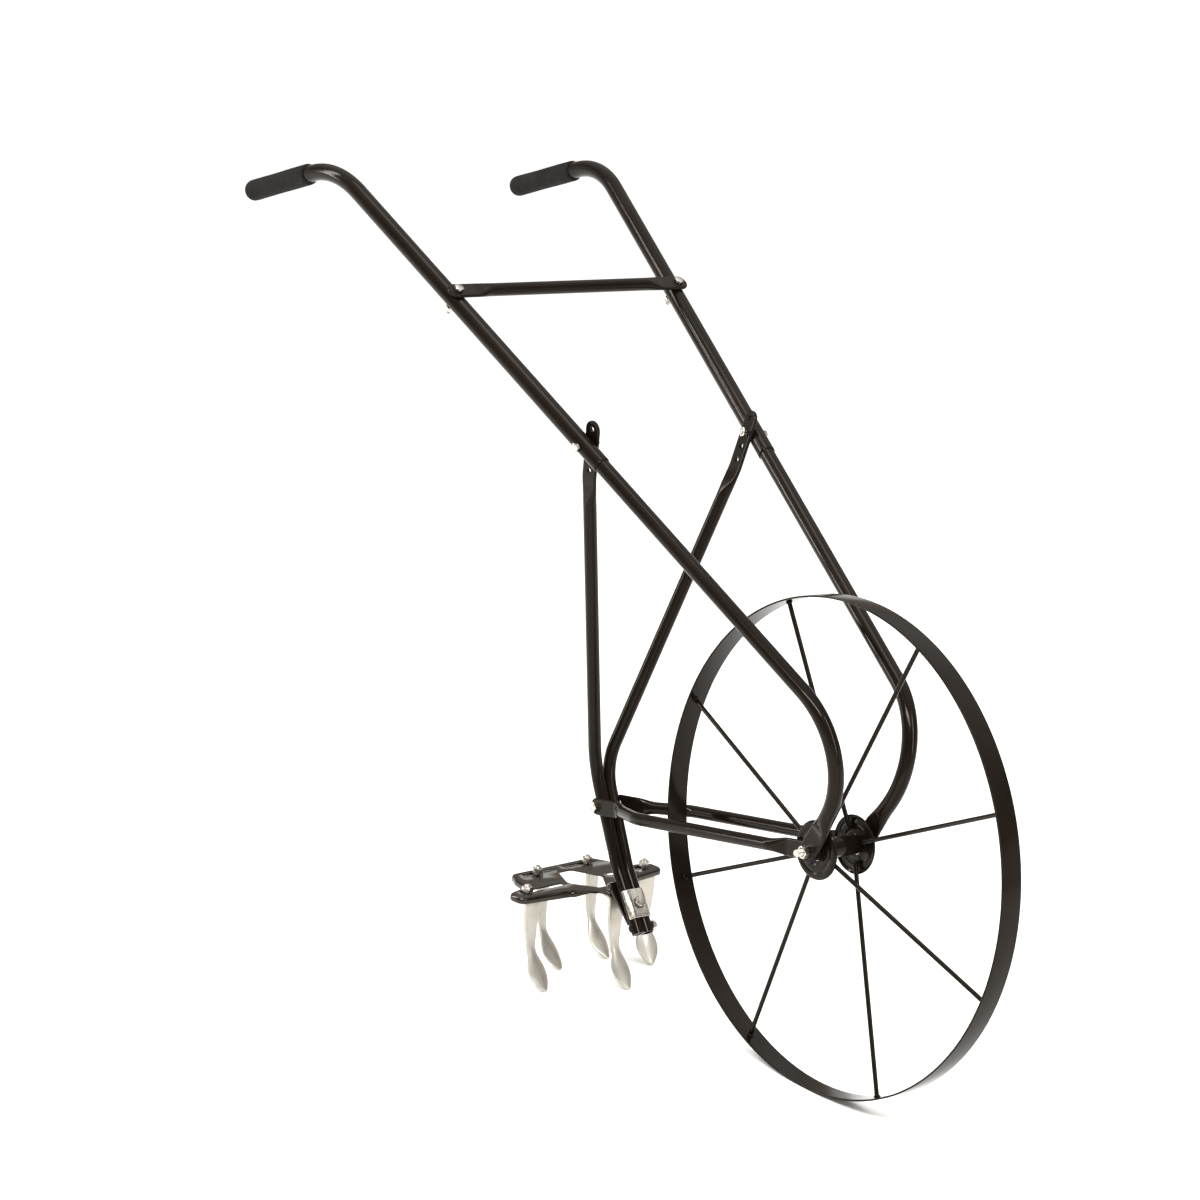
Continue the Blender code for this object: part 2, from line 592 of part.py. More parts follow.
def stays():
    flat_rear, flat_front, lean = 0.0480, 0.0520, 0.0300
    strap_side = STAY_JOINT.y + LEG_RADIUS + GAP + FLAT_HALF
    run = Vector((-STAY_JOINT.x, 0, -STAY_JOINT.z)).normalized()
    wide = flat_width(STAY_RADIUS, FLAT_HALF)
    joint = Vector((STAY_JOINT.x, 0, STAY_JOINT.z))

    def on_line(distance, across):
        return joint + run * distance + ACROSS * across

    reach = joint.length
    corners = [on_line(-wide + 0.001, strap_side), on_line(0.046, strap_side), on_line(0.115, STAY_SIDE),
               on_line(reach - 0.072, STAY_SIDE), on_line(reach - 0.044, STAY_HUB_SIDE),
               on_line(reach + wide, STAY_HUB_SIDE)]
    path = rounded_path(corners, (0.06, 0.06, 0.03, 0.03), 4)
    path = with_stops(path, end_stops(STAY_RADIUS, flat_rear, lean, False)
                      + end_stops(STAY_RADIUS, flat_front, lean, True))[1:-1]
    for word, side in (("left", 1), ("right", -1)):
        rings = pressed_rings(mirrored(path, side), STAY_RADIUS, 12,
                              start=(flat_rear, lean), end=(flat_front, lean))
        made = solid(f"stay_{word}", rings, BLACK_PAINT)
        drill(made, mirrored([on_line(0, strap_side)], side)[0], ACROSS, hole_radius(MIDDLE_BOLT), 0.02)
        drill(made, mirrored([on_line(reach, STAY_HUB_SIDE)], side)[0], ACROSS, hole_radius(AXLE_BOLT), 0.02)
    outside = strap_side + FLAT_HALF + GAP
    seat = Vector((STAY_JOINT.x, -outside, STAY_JOINT.z))
    bolt("stay_bolt", MIDDLE_BOLT, seat, ACROSS, 2 * outside + 0.0110)
    nut("stay_nut", MIDDLE_BOLT, Vector((STAY_JOINT.x, outside, STAY_JOINT.z)), ACROSS)


# ---- tool clamp and foot bolt -------------------------------------------------------------------------
def clamp_outline(radius, reach):
    """A saddle's edge, from the side of one leg over the flat front to the side of the other."""
    points = []
    for i in range(5):
        angle = math.radians(reach * (1 - i / 4))
        points.append((radius * math.cos(angle), LOWER_BEND.y + radius * math.sin(angle)))
    return points + [(ahead, -across) for ahead, across in reversed(points)]


def tool_clamp():
    along, forward, bend = foot_frame()
    inside = LEG_RADIUS + GAP
    outside = inside + CLAMP_THICKNESS
    outline = clamp_outline(outside, CLAMP_WRAP) + clamp_outline(inside, CLAMP_WRAP)[::-1]
    rings = [placed(outline, bend + along * place, forward, ACROSS) for place in (CLAMP_FROM, CLAMP_TO)]
    made = solid("tool_clamp", rings, ZINC)
    middle = bend + along * (CLAMP_FROM + CLAMP_TO) / 2
    drill(made, middle + forward * outside, forward, hole_radius(MIDDLE_BOLT), 0.012)
    seat = middle + forward * (outside + GAP)
    behind = middle - forward * (inside + SHANK_THICKNESS + GAP)
    bolt("clamp_bolt", MIDDLE_BOLT, seat, -forward, (seat - behind).length + 0.0105)
    nut("clamp_nut", MIDDLE_BOLT, behind, -forward)
    outer_side = LOWER_BEND.y + LEG_RADIUS + GAP
    seat = bend + along * FOOT_BOLT_AT
    bolt("foot_bolt", (0.011, 0.0020, SMALL_BOLT[2], 0), seat - ACROSS * outer_side, ACROSS,
         2 * outer_side + 0.0085, finish=BLACK_PAINT, round_head=0.0055)
    nut("foot_nut", SMALL_BOLT, seat + ACROSS * outer_side, ACROSS)


# ---- tool plate and tines --------------------------------------------------------------------------------
# the left half of the plate's outline, from the shank round the arms to the rear: forward, left, radius
PLATE_OUTLINE = ((-0.3927, 0.0150, 0.004), (-0.4060, 0.0165, 0.012), (-0.4285, 0.0480, 0.030),
                 (-0.4385, 0.1290, 0.011), (-0.4650, 0.1280, 0.012), (-0.4740, 0.0900, 0.006),
                 (-0.5010, 0.0820, 0.008), (-0.5210, 0.0710, 0.010))
WINDOW_OUTLINE = ((-0.4225, 0.0060, 0.004), (-0.4550, 0.0305, 0.008), (-0.4930, 0.0110, 0.006))
NECK = (-0.4150, 0.0190)        # the rim stops at the neck: its rear end, and half the clear width


def turned_head(point):
    """Where a point of the straight head lies once the head is turned in its clamp."""
    return TOOL_PIVOT + Matrix.Rotation(math.radians(TOOL_TURN), 3, "Z") @ (point - TOOL_PIVOT)


def flat_outline(half, inset=0.0):
    """A closed outline with rounded corners, mirrored about the middle plane, optionally inset."""
    corners = [Vector((x, y, 0)) for x, y, _ in half] + [Vector((x, -y, 0)) for x, y, _ in reversed(half)]
    radii = [radius for _, _, radius in half] + [radius for _, _, radius in reversed(half)]
    points = []
    count = len(corners)
    for i in range(count):
        after = corners[(i + 1) % count]
        ends = [corners[i - 1].lerp(corners[i], 0.5), corners[i], corners[i].lerp(after, 0.5)]
        points += rounded_path(ends, (radii[i],), 3)[1:-1]
    if not inset:
        return points
    moved = []
    for i, point in enumerate(points):
        edge_in = (point - points[i - 1]).normalized()
        edge_out = (points[(i + 1) % len(points)] - point).normalized()
        normal = (edge_in + edge_out).normalized().cross(UP)
        moved.append(point - normal * inset / max(normal.dot(edge_in.cross(UP)), 0.5))
    return moved


def prism(outline, low, high):
    bm = bmesh.new()
    rings = skin(bm, [[Vector((point.x, point.y, height)) for point in outline] for height in (low, high)])
    bm.faces.new(rings[0])
    bm.faces.new(rings[1])
    bmesh.ops.recalc_face_normals(bm, faces=bm.faces)
    return bm


def slot_outline(x, from_y, to_y):
    """A slot across the plate with round ends."""
    points = []
    for end, start_angle in ((to_y, 0), (from_y, 180)):
        for i in range(5):
            angle = math.radians(start_angle + 180 * i / 4)
            points.append(Vector((x + SLOT_HALF * math.cos(angle), end + SLOT_HALF * math.sin(angle), 0)))
    return points


def box_outline(x_from, x_to, half):
    corners = ((x_from, -half), (x_to, -half), (x_to, half), (x_from, half))
    return [Vector((x, y, 0)) for x, y in corners]


def tool_plate():
    along, forward, bend = foot_frame()
    bottom = PLATE_TOP - PLATE_DEPTH
    under = PLATE_TOP - PLATE_THICKNESS
    placement = Matrix.Translation(AXLE + TOOL_PIVOT) @ Matrix.Rotation(math.radians(TOOL_TURN), 4, "Z")
    placement = placement @ Matrix.Translation(-TOOL_PIVOT)
    outline = [turned_head(point) for point in flat_outline(PLATE_OUTLINE)]
    made = add_object("tool_plate", prism(outline, bottom, PLATE_TOP), BLACK_PAINT)
    inner = flat_outline(PLATE_OUTLINE, inset=PLATE_THICKNESS)
    cut_with(made, prism(inner, bottom - 0.01, under), placement)
    neck = box_outline(NECK[0], PLATE_OUTLINE[0][0] + 0.01, NECK[1])
    cut_with(made, prism(neck, bottom - 0.01, under), placement)
    cut_with(made, prism(flat_outline(WINDOW_OUTLINE), bottom - 0.01, PLATE_TOP + 0.01), placement)
    drill(made, turned_head(Vector((*TINES["tine_3"][:2], PLATE_TOP))), UP, hole_radius(MIDDLE_BOLT), 0.02)
    for x, ends in ((FRONT_ROW, FRONT_SLOT), (REAR_ROW, REAR_SLOT)):
        for from_y, to_y in (ends, (-ends[1], -ends[0])):
            cut_with(made, prism(slot_outline(x, from_y, to_y), bottom - 0.01, PLATE_TOP + 0.01), placement)
    # the shank hangs from the plate's front lip, behind the legs, and tapers to its lower end
    back = bend - forward * (LEG_RADIUS + GAP + SHANK_THICKNESS)
    rings = []
    for place, half in ((0.0150, 0.0210), (0.0300, 0.0200), (CLAMP_TO + 0.003, 0.0110)):
        start = back + along * place
        rings.append([start - ACROSS * half, start + ACROSS * half,
                      start + ACROSS * half + forward * SHANK_THICKNESS,
                      start - ACROSS * half + forward * SHANK_THICKNESS])
    shank = add_object("tool_shank", shank_mesh(rings), BLACK_PAINT)
    middle = bend + along * (CLAMP_FROM + CLAMP_TO) / 2
    hole_at = middle - forward * (LEG_RADIUS + SHANK_THICKNESS / 2)
    drill(shank, hole_at, forward, hole_radius(MIDDLE_BOLT), 0.014)


def shank_mesh(rings):
    bm = bmesh.new()
    made = skin(bm, rings)
    bm.faces.new(made[0])
    bm.faces.new(made[-1])
    return bm


# down from the plate's underside: forward of the bolt, half width, crease height
TINE_STATIONS = ((0.0040, 0.0093, 0.0120, 0.0), (0.0130, 0.0106, 0.0122, 0.0),
                 (0.0300, 0.0112, 0.0116, 0.0), (0.0500, 0.0128, 0.0096, 0.0004),
                 (0.0680, 0.0156, 0.0073, 0.0010), (0.0780, 0.0192, 0.0090, 0.0018),
                 (0.0870, 0.0238, 0.0130, 0.0024), (0.0960, 0.0295, 0.0156, 0.0026),
                 (0.1060, 0.0385, 0.0135, 0.0022))
# the tab under the bolt: forward of the bolt, half width
TAB_STATIONS = ((-0.0090, 0.0050), (-0.0063, 0.0088), (0.0, 0.0108), (0.0062, 0.0118))
TINE_TIP = (0.0500, 0.0012)     # forward of the bolt, height above the ground


def tine_sections():
    """Forward, height, half width, crease and direction of travel of each section of a tine."""
    under = PLATE_TOP - PLATE_THICKNESS - GAP
    stations = [(ahead, -TINE_THICKNESS / 2, wide, 0.0) for ahead, wide in TAB_STATIONS]
    stations += [(ahead, -down, wide, crease) for down, ahead, wide, crease in TINE_STATIONS]
    stations.append((TINE_TIP[0], TINE_TIP[1] - WHEEL_DIAMETER / 2 - under, 0.0025, 0.0008))
    sections = []
    for i, (ahead, height, wide, crease) in enumerate(stations):
        before = stations[max(i - 1, 0)]
        after = stations[min(i + 1, len(stations) - 1)]
        run = Vector((after[0] - before[0], 0, after[1] - before[1]))
        if i < len(TAB_STATIONS):
            run = Vector((1, 0, 0))
        sections.append((Vector((ahead, 0, height)), run.normalized(), wide, crease))
    return sections


def tine(name, x, y, turn):
    under = PLATE_TOP - PLATE_THICKNESS - GAP
    pivot = turned_head(Vector((x, y, under)))
    rotation = Matrix.Rotation(math.radians(turn + TOOL_TURN), 3, "Z")
    half = TINE_THICKNESS / 2
    rings = []
    sections = tine_sections()
    for centre, run, wide, crease in sections:
        front = run.cross(ACROSS)
        thick = half if centre is not sections[-1][0] else half * 0.45
        edge = front * thick * 0.8
        side = ACROSS * wide
        ring = [centre + front * (thick + crease), centre + edge + side, centre - edge + side,
                centre - front * (thick - crease), centre - edge - side, centre + edge - side]
        rings.append([pivot + rotation @ point for point in ring])
    made = solid(name, rings, TINE_PAINT, pivot=pivot)
    drill(made, pivot - UP * half, UP, hole_radius(MIDDLE_BOLT), 0.012)
    lower = pivot - UP * (TINE_THICKNESS + GAP)
    top = Vector((pivot.x, pivot.y, PLATE_TOP + GAP))
    bolt(name.replace("tine", "tine_bolt"), (0, 0.0040, MIDDLE_BOLT[2], 0), lower, UP,
         (top - lower).length + 0.0095, pivot=pivot, round_head=0.0070)
    nut(name.replace("tine", "tine_nut"), MIDDLE_BOLT, top, UP, pivot=pivot)


def main():
    wheel()
    axle()
    handles()
    crossbar()
    braces()
    stays()
    tool_clamp()
    tool_plate()
    for name, (x, y, turn) in TINES.items():
        tine(name, x, y, turn)


main()
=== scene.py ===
"""Looks for a high-wheel garden cultivator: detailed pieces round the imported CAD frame.

Shapes are laid out from the wheel's centre, in metres: +X forward, +Y left, +Z up.
"""
import math
import random

import bmesh
import bpy
from mathutils import Matrix, Vector, noise


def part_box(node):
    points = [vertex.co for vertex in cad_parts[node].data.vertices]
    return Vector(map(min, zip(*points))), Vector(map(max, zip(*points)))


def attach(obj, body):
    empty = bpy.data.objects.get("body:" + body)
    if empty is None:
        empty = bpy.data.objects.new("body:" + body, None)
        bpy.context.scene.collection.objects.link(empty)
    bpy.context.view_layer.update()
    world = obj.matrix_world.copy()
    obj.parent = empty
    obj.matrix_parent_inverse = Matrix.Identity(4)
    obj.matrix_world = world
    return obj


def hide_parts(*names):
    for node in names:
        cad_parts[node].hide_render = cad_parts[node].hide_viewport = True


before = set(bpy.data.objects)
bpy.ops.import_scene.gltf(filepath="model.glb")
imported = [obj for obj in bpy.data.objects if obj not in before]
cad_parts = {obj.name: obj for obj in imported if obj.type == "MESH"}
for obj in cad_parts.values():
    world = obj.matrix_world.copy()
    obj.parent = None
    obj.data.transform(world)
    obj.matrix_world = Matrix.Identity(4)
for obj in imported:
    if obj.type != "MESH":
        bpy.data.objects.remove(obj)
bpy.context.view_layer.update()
RANDOM = random.Random(7)

# ---- dimensions, as in the CAD model -----------------------------------------
LOW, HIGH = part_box("wheel_rim")
AXLE = (LOW + HIGH) / 2
WHEEL_RADIUS = (HIGH.z - LOW.z) / 2
RIM_THICKNESS = 0.0024
RIM_HALF = 0.0151
SPOKE = 0.0029
SPOKE_HUB_RADIUS = 0.0190
SPOKE_HUB_SIDE = 0.0270
SPOKE_RIM_SIDE = 0.0030
HUB_BORE = 0.0092
HUB_RADIUS = 0.0122
HUB_HALF = 0.0338
FLANGE_SIDE = 0.0305
SPOKE_ANGLES = (24.6, 68.8, 116.2, 159.2, 204.3, 247.8, 292.8, 340.4)
GAP = 0.0003

HANDLE_LOW = Vector((-0.0042, 0.0743, 0.2000))
HANDLE_HIGH = Vector((-0.8726, 0.2192, 0.7000))
HANDLE_FOOT = Vector((0.0160, 0.0438, 0.0280))
HANDLE_BEND_TOP_X = -0.8520
HANDLE_BEND_LOW_X = 0.0856
HANDLE_TAIL = Vector((-1.0378, 0.2187, 0.6258))
UPPER_TUBE = 0.0112
LOWER_TUBE = 0.0098
SEAM_X = -0.3502
OVERLAP_END_X = -0.4300
GRIP_RADIUS = 0.0142
GRIP_LENGTH = 0.1400
GRIP_END = 0.0040
LEG = 0.0085
LEG_WALL = 0.0015
STAY = 0.0080
FLAT = 0.0022
BRACE_BOLT_X = -0.3832
BRACE_PITCH = 0.0185
BRACE_LEAN = 0.40
BRACE_HOLE = 0.0038
CROSSBAR_BOLT_X = -0.6228
CROSSBAR_BEYOND = 0.0140
KNEE = Vector((-0.4624, 0.0085 + GAP / 2, -0.0313))
STAY_JOINT = Vector((-0.4378, 0.0085 + GAP / 2, -0.0775))
LOWER_BEND = Vector((-0.3976, 0.0072, -0.1510))
FOOT = Vector((-0.3433, 0.0072, -0.2226))
STAY_SIDE = 0.0445
STAY_HUB_SIDE = 0.0391
CLAMP_FROM, CLAMP_TO = 0.0320, 0.0705
CLAMP_WRAP = 66.0
CLAMP_SHEET = 0.0025
SHANK_SHEET = 0.0040
FOOT_BOLT_AT = 0.0810
TOOL_TURN = 6.7
TOOL_PIVOT = Vector((-0.3350, 0, 0))
PLATE_TOP = -0.1820
PLATE_WALL = 0.0028
RIM_DEEPENS_FROM_X = -0.4150
RIM_DEEPENS_OVER = 0.0120
SLOT_HALF = 0.0045
SLOTS_ACROSS = ((0.0430, 0.1095), (0.0120, 0.0600))
WASHER = 0.0011
TINE_THICKNESS = 0.0050
FRONT_ROW, REAR_ROW = -0.4556, -0.5052
TINES = {
    "1": (FRONT_ROW, -0.1035, 0.0),
    "2": (REAR_ROW, -0.0389, 13.0),
    "3": (-0.4058, 0.0, -3.0),
    "4": (REAR_ROW, 0.0513, 6.0),
    "5": (FRONT_ROW, 0.1085, -20.0),
}

# Hex hardware: across flats, head height, shaft radius, nut height.
SMALL = (0.0111, 0.0045, 0.00315, 0.0055)
MIDDLE = (0.0127, 0.0052, 0.0039, 0.0067)
BIG = (0.0143, 0.0062, 0.00475, 0.0082)

TUBE_SIDES = 48
HEX_SIDES = 48
SHAFT_SIDES = 24
DOME_SIDES = 32
SAME_POINT = 1e-7
SAME_STATION = 1e-5
ACROSS = Vector((0, 1, 0))
UP = Vector((0, 0, 1))
AHEAD = Vector((1, 0, 0))
ORIGIN = Vector((0, 0, 0))
SIDES = (("left", 1), ("right", -1))


# ---- materials ---------------------------------------------------------------
class Nodes:
    """A short way to build a material's node tree."""

    def __init__(self, name):
        self.material = bpy.data.materials.new(name)
        self.material.use_nodes = True
        self.tree = self.material.node_tree
        self.shader = self.tree.nodes["Principled BSDF"]
        self.place = self.add("ShaderNodeTexCoord").outputs["Object"]

    def add(self, kind, **values):
        """A node with its settings, or the sockets of those names, set to the values."""
        node = self.tree.nodes.new(kind)
        for key, value in values.items():
            if hasattr(node, key):
                setattr(node, key, value)
            else:
                node.inputs[key.replace("_", " ").title()].default_value = value
        return node

    def link(self, output, socket):
        self.tree.links.new(output, socket)

    def into(self, socket, output):
        self.link(output, self.shader.inputs[socket])

    def noise(self, scale, detail=3.0, roughness=0.55):
        node = self.add("ShaderNodeTexNoise", scale=scale, detail=detail, roughness=roughness)
        self.link(self.place, node.inputs["Vector"])
        return node.outputs["Fac"]

    def ramp(self, source, stops):
        """A colour ramp; each stop is (position, colour) or (position, grey level)."""
        node = self.add("ShaderNodeValToRGB")
        ramp = node.color_ramp
        while len(ramp.elements) < len(stops):
            ramp.elements.new(0.5)
        for element, (position, colour) in zip(ramp.elements, stops):
            element.position = position
            element.color = (*(colour if isinstance(colour, tuple) else (colour,) * 3), 1)
        self.link(source, node.inputs["Fac"])
        return node.outputs["Color"]

    def mix(self, factor, a, b, blend="MIX"):
        node = self.add("ShaderNodeMix", data_type="RGBA", blend_type=blend)
        for socket, value in ((node.inputs[0], factor), (node.inputs[6], a), (node.inputs[7], b)):
            if isinstance(value, (int, float)):
                socket.default_value = value
            elif isinstance(value, tuple):
                socket.default_value = (*value, 1)
            else:
                self.link(value, socket)
        return node.outputs[2]

    def bump(self, height, strength, distance, before=None):
        node = self.add("ShaderNodeBump", strength=strength, distance=distance)
        self.link(height, node.inputs["Height"])
        if before:
            self.link(before, node.inputs["Normal"])
        return node.outputs["Normal"]


def black_enamel(name, specular):
    """Warm black gloss paint with slight orange peel and specks of dust."""
    m = Nodes(name)
    cloud = m.noise(9.0, 4.0)
    colour = m.ramp(cloud, [(0.30, (0.0034, 0.0024, 0.0017)), (0.70, (0.0068, 0.0048, 0.0035))])
    dust = m.ramp(m.noise(260.0, 2.0), [(0.60, 0.0), (0.78, 0.06)])
    colour = m.mix(dust, colour, (0.050, 0.042, 0.036))
    m.into("Base Color", colour)
    m.into("Roughness", m.ramp(m.noise(38.0), [(0.30, 0.09), (0.72, 0.19)]))
    peel = m.bump(m.noise(420.0, 2.0), 0.05, 0.0004)
    m.into("Normal", m.bump(m.noise(60.0, 2.0), 0.04, 0.0015, peel))
    m.shader.inputs["Specular IOR Level"].default_value = specular
    m.shader.inputs["Specular Tint"].default_value = (1.0, 0.86, 0.74, 1)
    return m.material


def zinc(name, dark, light):
    """Cloudy bright plating."""
    m = Nodes(name)
    cloud = m.noise(140.0, 4.0)
    colour = m.ramp(cloud, [(0.30, dark), (0.72, light)])
    m.into("Base Color", colour)
    m.shader.inputs["Metallic"].default_value = 1.0
    m.into("Roughness", m.ramp(m.noise(320.0), [(0.30, 0.16), (0.70, 0.34)]))
    m.into("Normal", m.bump(m.noise(900.0), 0.20, 0.0003))
    return m.material


def silver_paint():
    """Aluminium paint with fine flake on a rough forging."""
    m = Nodes("silver_tine_paint")
    cloud = m.noise(28.0, 4.0)
    colour = m.ramp(cloud, [(0.28, (0.33, 0.31, 0.27)), (0.70, (0.46, 0.435, 0.385))])
    flake = m.ramp(m.noise(1500.0, 2.0), [(0.42, 0.0), (0.66, 0.35)])
    colour = m.mix(flake, colour, (0.60, 0.575, 0.52))
    m.into("Base Color", colour)
    m.shader.inputs["Metallic"].default_value = 0.80
    m.into("Roughness", m.ramp(m.noise(70.0), [(0.30, 0.26), (0.72, 0.42)]))
    peel = m.bump(m.noise(700.0, 2.0), 0.12, 0.0004)
    m.into("Normal", m.bump(m.noise(45.0, 2.0), 0.10, 0.0020, peel))
    return m.material


def grip_foam():
    """Matt black foam rubber with open pores."""
    m = Nodes("grip_foam_rubber")
    cloud = m.noise(30.0)
    colour = m.ramp(cloud, [(0.30, (0.0042, 0.0038, 0.0035)), (0.70, (0.0088, 0.0080, 0.0074))])
    m.into("Base Color", colour)
    m.into("Roughness", m.ramp(m.noise(160.0), [(0.30, 0.70), (0.70, 0.88)]))
    cells = m.add("ShaderNodeTexVoronoi", scale=900.0)
    m.link(m.place, cells.inputs["Vector"])
    pores = m.bump(cells.outputs["Distance"], 0.30, 0.0005)
    m.into("Normal", m.bump(m.noise(240.0), 0.25, 0.0006, pores))
    m.shader.inputs["Specular IOR Level"].default_value = 0.12
    return m.material


def bronze():
    m = Nodes("oiled_bronze")
    colour = m.ramp(m.noise(400.0), [(0.30, (0.060, 0.040, 0.022)), (0.70, (0.120, 0.082, 0.046))])
    m.into("Base Color", colour)
    m.shader.inputs["Metallic"].default_value = 1.0
    m.into("Roughness", m.ramp(m.noise(200.0, 2.0), [(0.30, 0.36), (0.70, 0.55)]))
    return m.material


BLACK = black_enamel("black_enamel_paint", 0.11)
PLATE_BLACK = black_enamel("plate_enamel_paint", 0.42)
ZINC = zinc("zinc_plate", (0.36, 0.335, 0.285), (0.58, 0.56, 0.515))
WASHER_ZINC = zinc("dark_zinc_plate", (0.070, 0.064, 0.056), (0.150, 0.140, 0.125))
SILVER = silver_paint()
FOAM = grip_foam()
BRONZE = bronze()


# ---- making pieces -----------------------------------------------------------
def piece(name, bm, finish, body, nodes=(), sharp=32):
    """An object from a bmesh laid out from the axle; it rides a body and stands for CAD nodes."""
    bmesh.ops.remove_doubles(bm, verts=bm.verts, dist=SAME_POINT)
    bmesh.ops.recalc_face_normals(bm, faces=bm.faces)
    if bm.calc_volume(signed=True) < 0:
        bmesh.ops.reverse_faces(bm, faces=bm.faces)
    bmesh.ops.translate(bm, verts=bm.verts, vec=AXLE)
    mesh = bpy.data.meshes.new(name)
    bm.to_mesh(mesh)
    bm.free()
    mesh.shade_smooth()
    mesh.set_sharp_from_angle(angle=math.radians(sharp))
    mesh.materials.append(finish)
    made = bpy.data.objects.new(name, mesh)
    bpy.context.scene.collection.objects.link(made)
    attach(made, body)
    if nodes:
        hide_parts(*nodes)
    return made


def repaint(node, finish):
    """Gives a CAD object that is kept as it is a better material."""
    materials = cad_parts[node].data.materials
    materials.clear()
    materials.append(finish)


def band(bm, ring, after):
    """Faces between two rings of the same number of points."""
    for i in range(len(ring)):
        j = (i + 1) % len(ring)
        bm.faces.new((ring[i], ring[j], after[j], after[i]))


def skin(bm, rings):
    """An open skin over rings of points; returns the rings of vertices."""
    made = [[bm.verts.new(point) for point in ring] for ring in rings]
    for ring, after in zip(made, made[1:]):
        band(bm, ring, after)
    return made


def cap(bm, ring):
    """Closes a ring with a fan round its middle."""
    middle = bm.verts.new(sum((v.co for v in ring), Vector()) / len(ring))
    for i, vert in enumerate(ring):
        bm.faces.new((vert, ring[(i + 1) % len(ring)], middle))


def add_capped(bm, rings):
    """Adds a skin over rings with both ends closed."""
    made = skin(bm, rings)
    cap(bm, made[0])
    cap(bm, made[-1])


def capped(rings):
    bm = bmesh.new()
    add_capped(bm, rings)
    return bm


def add_looped(bm, rings):
    """Adds rings joined end to end into a closed shell, such as a nut's outside and bore."""
    made = skin(bm, rings)
    band(bm, made[-1], made[0])


def oval(half_thickness, half_width, sides):
    """Points evenly round a flat-sided oval; a circle when both halves are equal."""
    straight = half_width - half_thickness
    quarter = straight + half_thickness * math.pi / 2
    points = []
    for i in range(sides):
        quadrant, part = divmod(4 * i, sides)
        travel = quarter * part / sides
        if quadrant % 2:
            travel = quarter - travel
        if travel <= straight:
            thick, wide = half_thickness, travel
        else:
            angle = (travel - straight) / half_thickness
            thick, wide = half_thickness * math.cos(angle), straight + half_thickness * math.sin(angle)
        points.append((thick if quadrant in (0, 3) else -thick, wide if quadrant < 2 else -wide))
    return points


def circle(radius, sides):
    return [(radius * math.cos(2 * math.pi * i / sides), radius * math.sin(2 * math.pi * i / sides))
            for i in range(sides)]


def frame_on(direction, reference):
    """Two directions square to a direction and to each other, the first nearest a reference."""
    direction = direction.normalized()
    first = (reference - direction * reference.dot(direction)).normalized()
    return first, direction.cross(first)


def frame_about(axis):
    """The same two directions for a part that is round, or nearly so, about an axis."""
    return frame_on(axis, UP if abs(axis.normalized().dot(UP)) < 0.9 else AHEAD)


def placed(points, centre, first, second):
    return [centre + first * u + second * v for u, v in points]


def rounded_path(corners, radii, pieces):
    """Straight runs joined by arcs, one radius for each inner corner."""
    points = [corners[0]]
    for before, corner, after, radius in zip(corners, corners[1:], corners[2:], radii):
        back = (before - corner).normalized()
        on = (after - corner).normalized()
        half = back.angle(on) / 2
        centre = corner + (back + on).normalized() * radius / math.sin(half)
        arm = corner + back * radius / math.tan(half) - centre
        axis = back.cross(arm)
        for i in range(pieces + 1):
            points.append(centre + Matrix.Rotation((math.pi - 2 * half) * i / pieces, 3, axis) @ arm)
    points.append(corners[-1])
    return points


def travelled(points):
    """The distance along a path at each of its points."""
    lengths = [0.0]
    for point, after in zip(points, points[1:]):
        lengths.append(lengths[-1] + (after - point).length)
    return lengths


def with_stops(points, stops):
    """Adds points at given distances along a path; a negative distance counts from its end."""
    lengths = travelled(points)
    stations = list(zip(lengths, points))
    for stop in stops:
        stop = stop if stop >= 0 else lengths[-1] + stop
        for i in range(len(lengths) - 1):
            if lengths[i] + SAME_STATION < stop < lengths[i + 1] - SAME_STATION:
                share = (stop - lengths[i]) / (lengths[i + 1] - lengths[i])
                stations.append((stop, points[i].lerp(points[i + 1], share)))
    stations.sort(key=lambda station: station[0])
    return [point for _, point in stations]


def directions(points):
    """The direction of travel at each point of a path."""
    runs = [(after - point).normalized() for point, after in zip(points, points[1:])]
    return [runs[0]] + [(a + b).normalized() for a, b in zip(runs, runs[1:])] + [runs[-1]]


def flat_width(radius, half_thickness):
    """Half the width of a round tube pressed to a half thickness, with its girth kept."""
    return half_thickness + math.pi * (radius - half_thickness) / 2


def end_stops(radius, flat, lean, from_end):
    """Stations for a pressed end: its rounded tip, its flat length and its lean back to round."""
    wide = flat_width(radius, FLAT)
    stops = [wide * (1 - math.cos(math.radians(angle))) for angle in (6, 14, 24, 35, 46, 57, 68, 79, 90)]
    stops += [wide + (flat - wide) * i / 4 for i in range(1, 5)]
    stops += [flat + lean * i / 14 for i in range(1, 15)]
    return [-stop if from_end else stop for stop in stops]


def pressed_section(radius, distance, flat, lean):
    """The section of a pressed tube at a distance from its tip."""
    share = min(max((distance - flat) / lean, 0.0), 1.0)
    share = share * share * (3 - 2 * share)
    thick = FLAT + (radius - FLAT) * share
    wide = flat_width(radius, thick)
    if distance < wide and share == 0.0:
        reach = math.sqrt(max(1 - ((wide - distance) / wide) ** 2, 0.004))
        wide *= reach
        thick *= min(1.0, 0.55 + 0.9 * reach)
    return oval(min(thick, wide), wide, TUBE_SIDES)


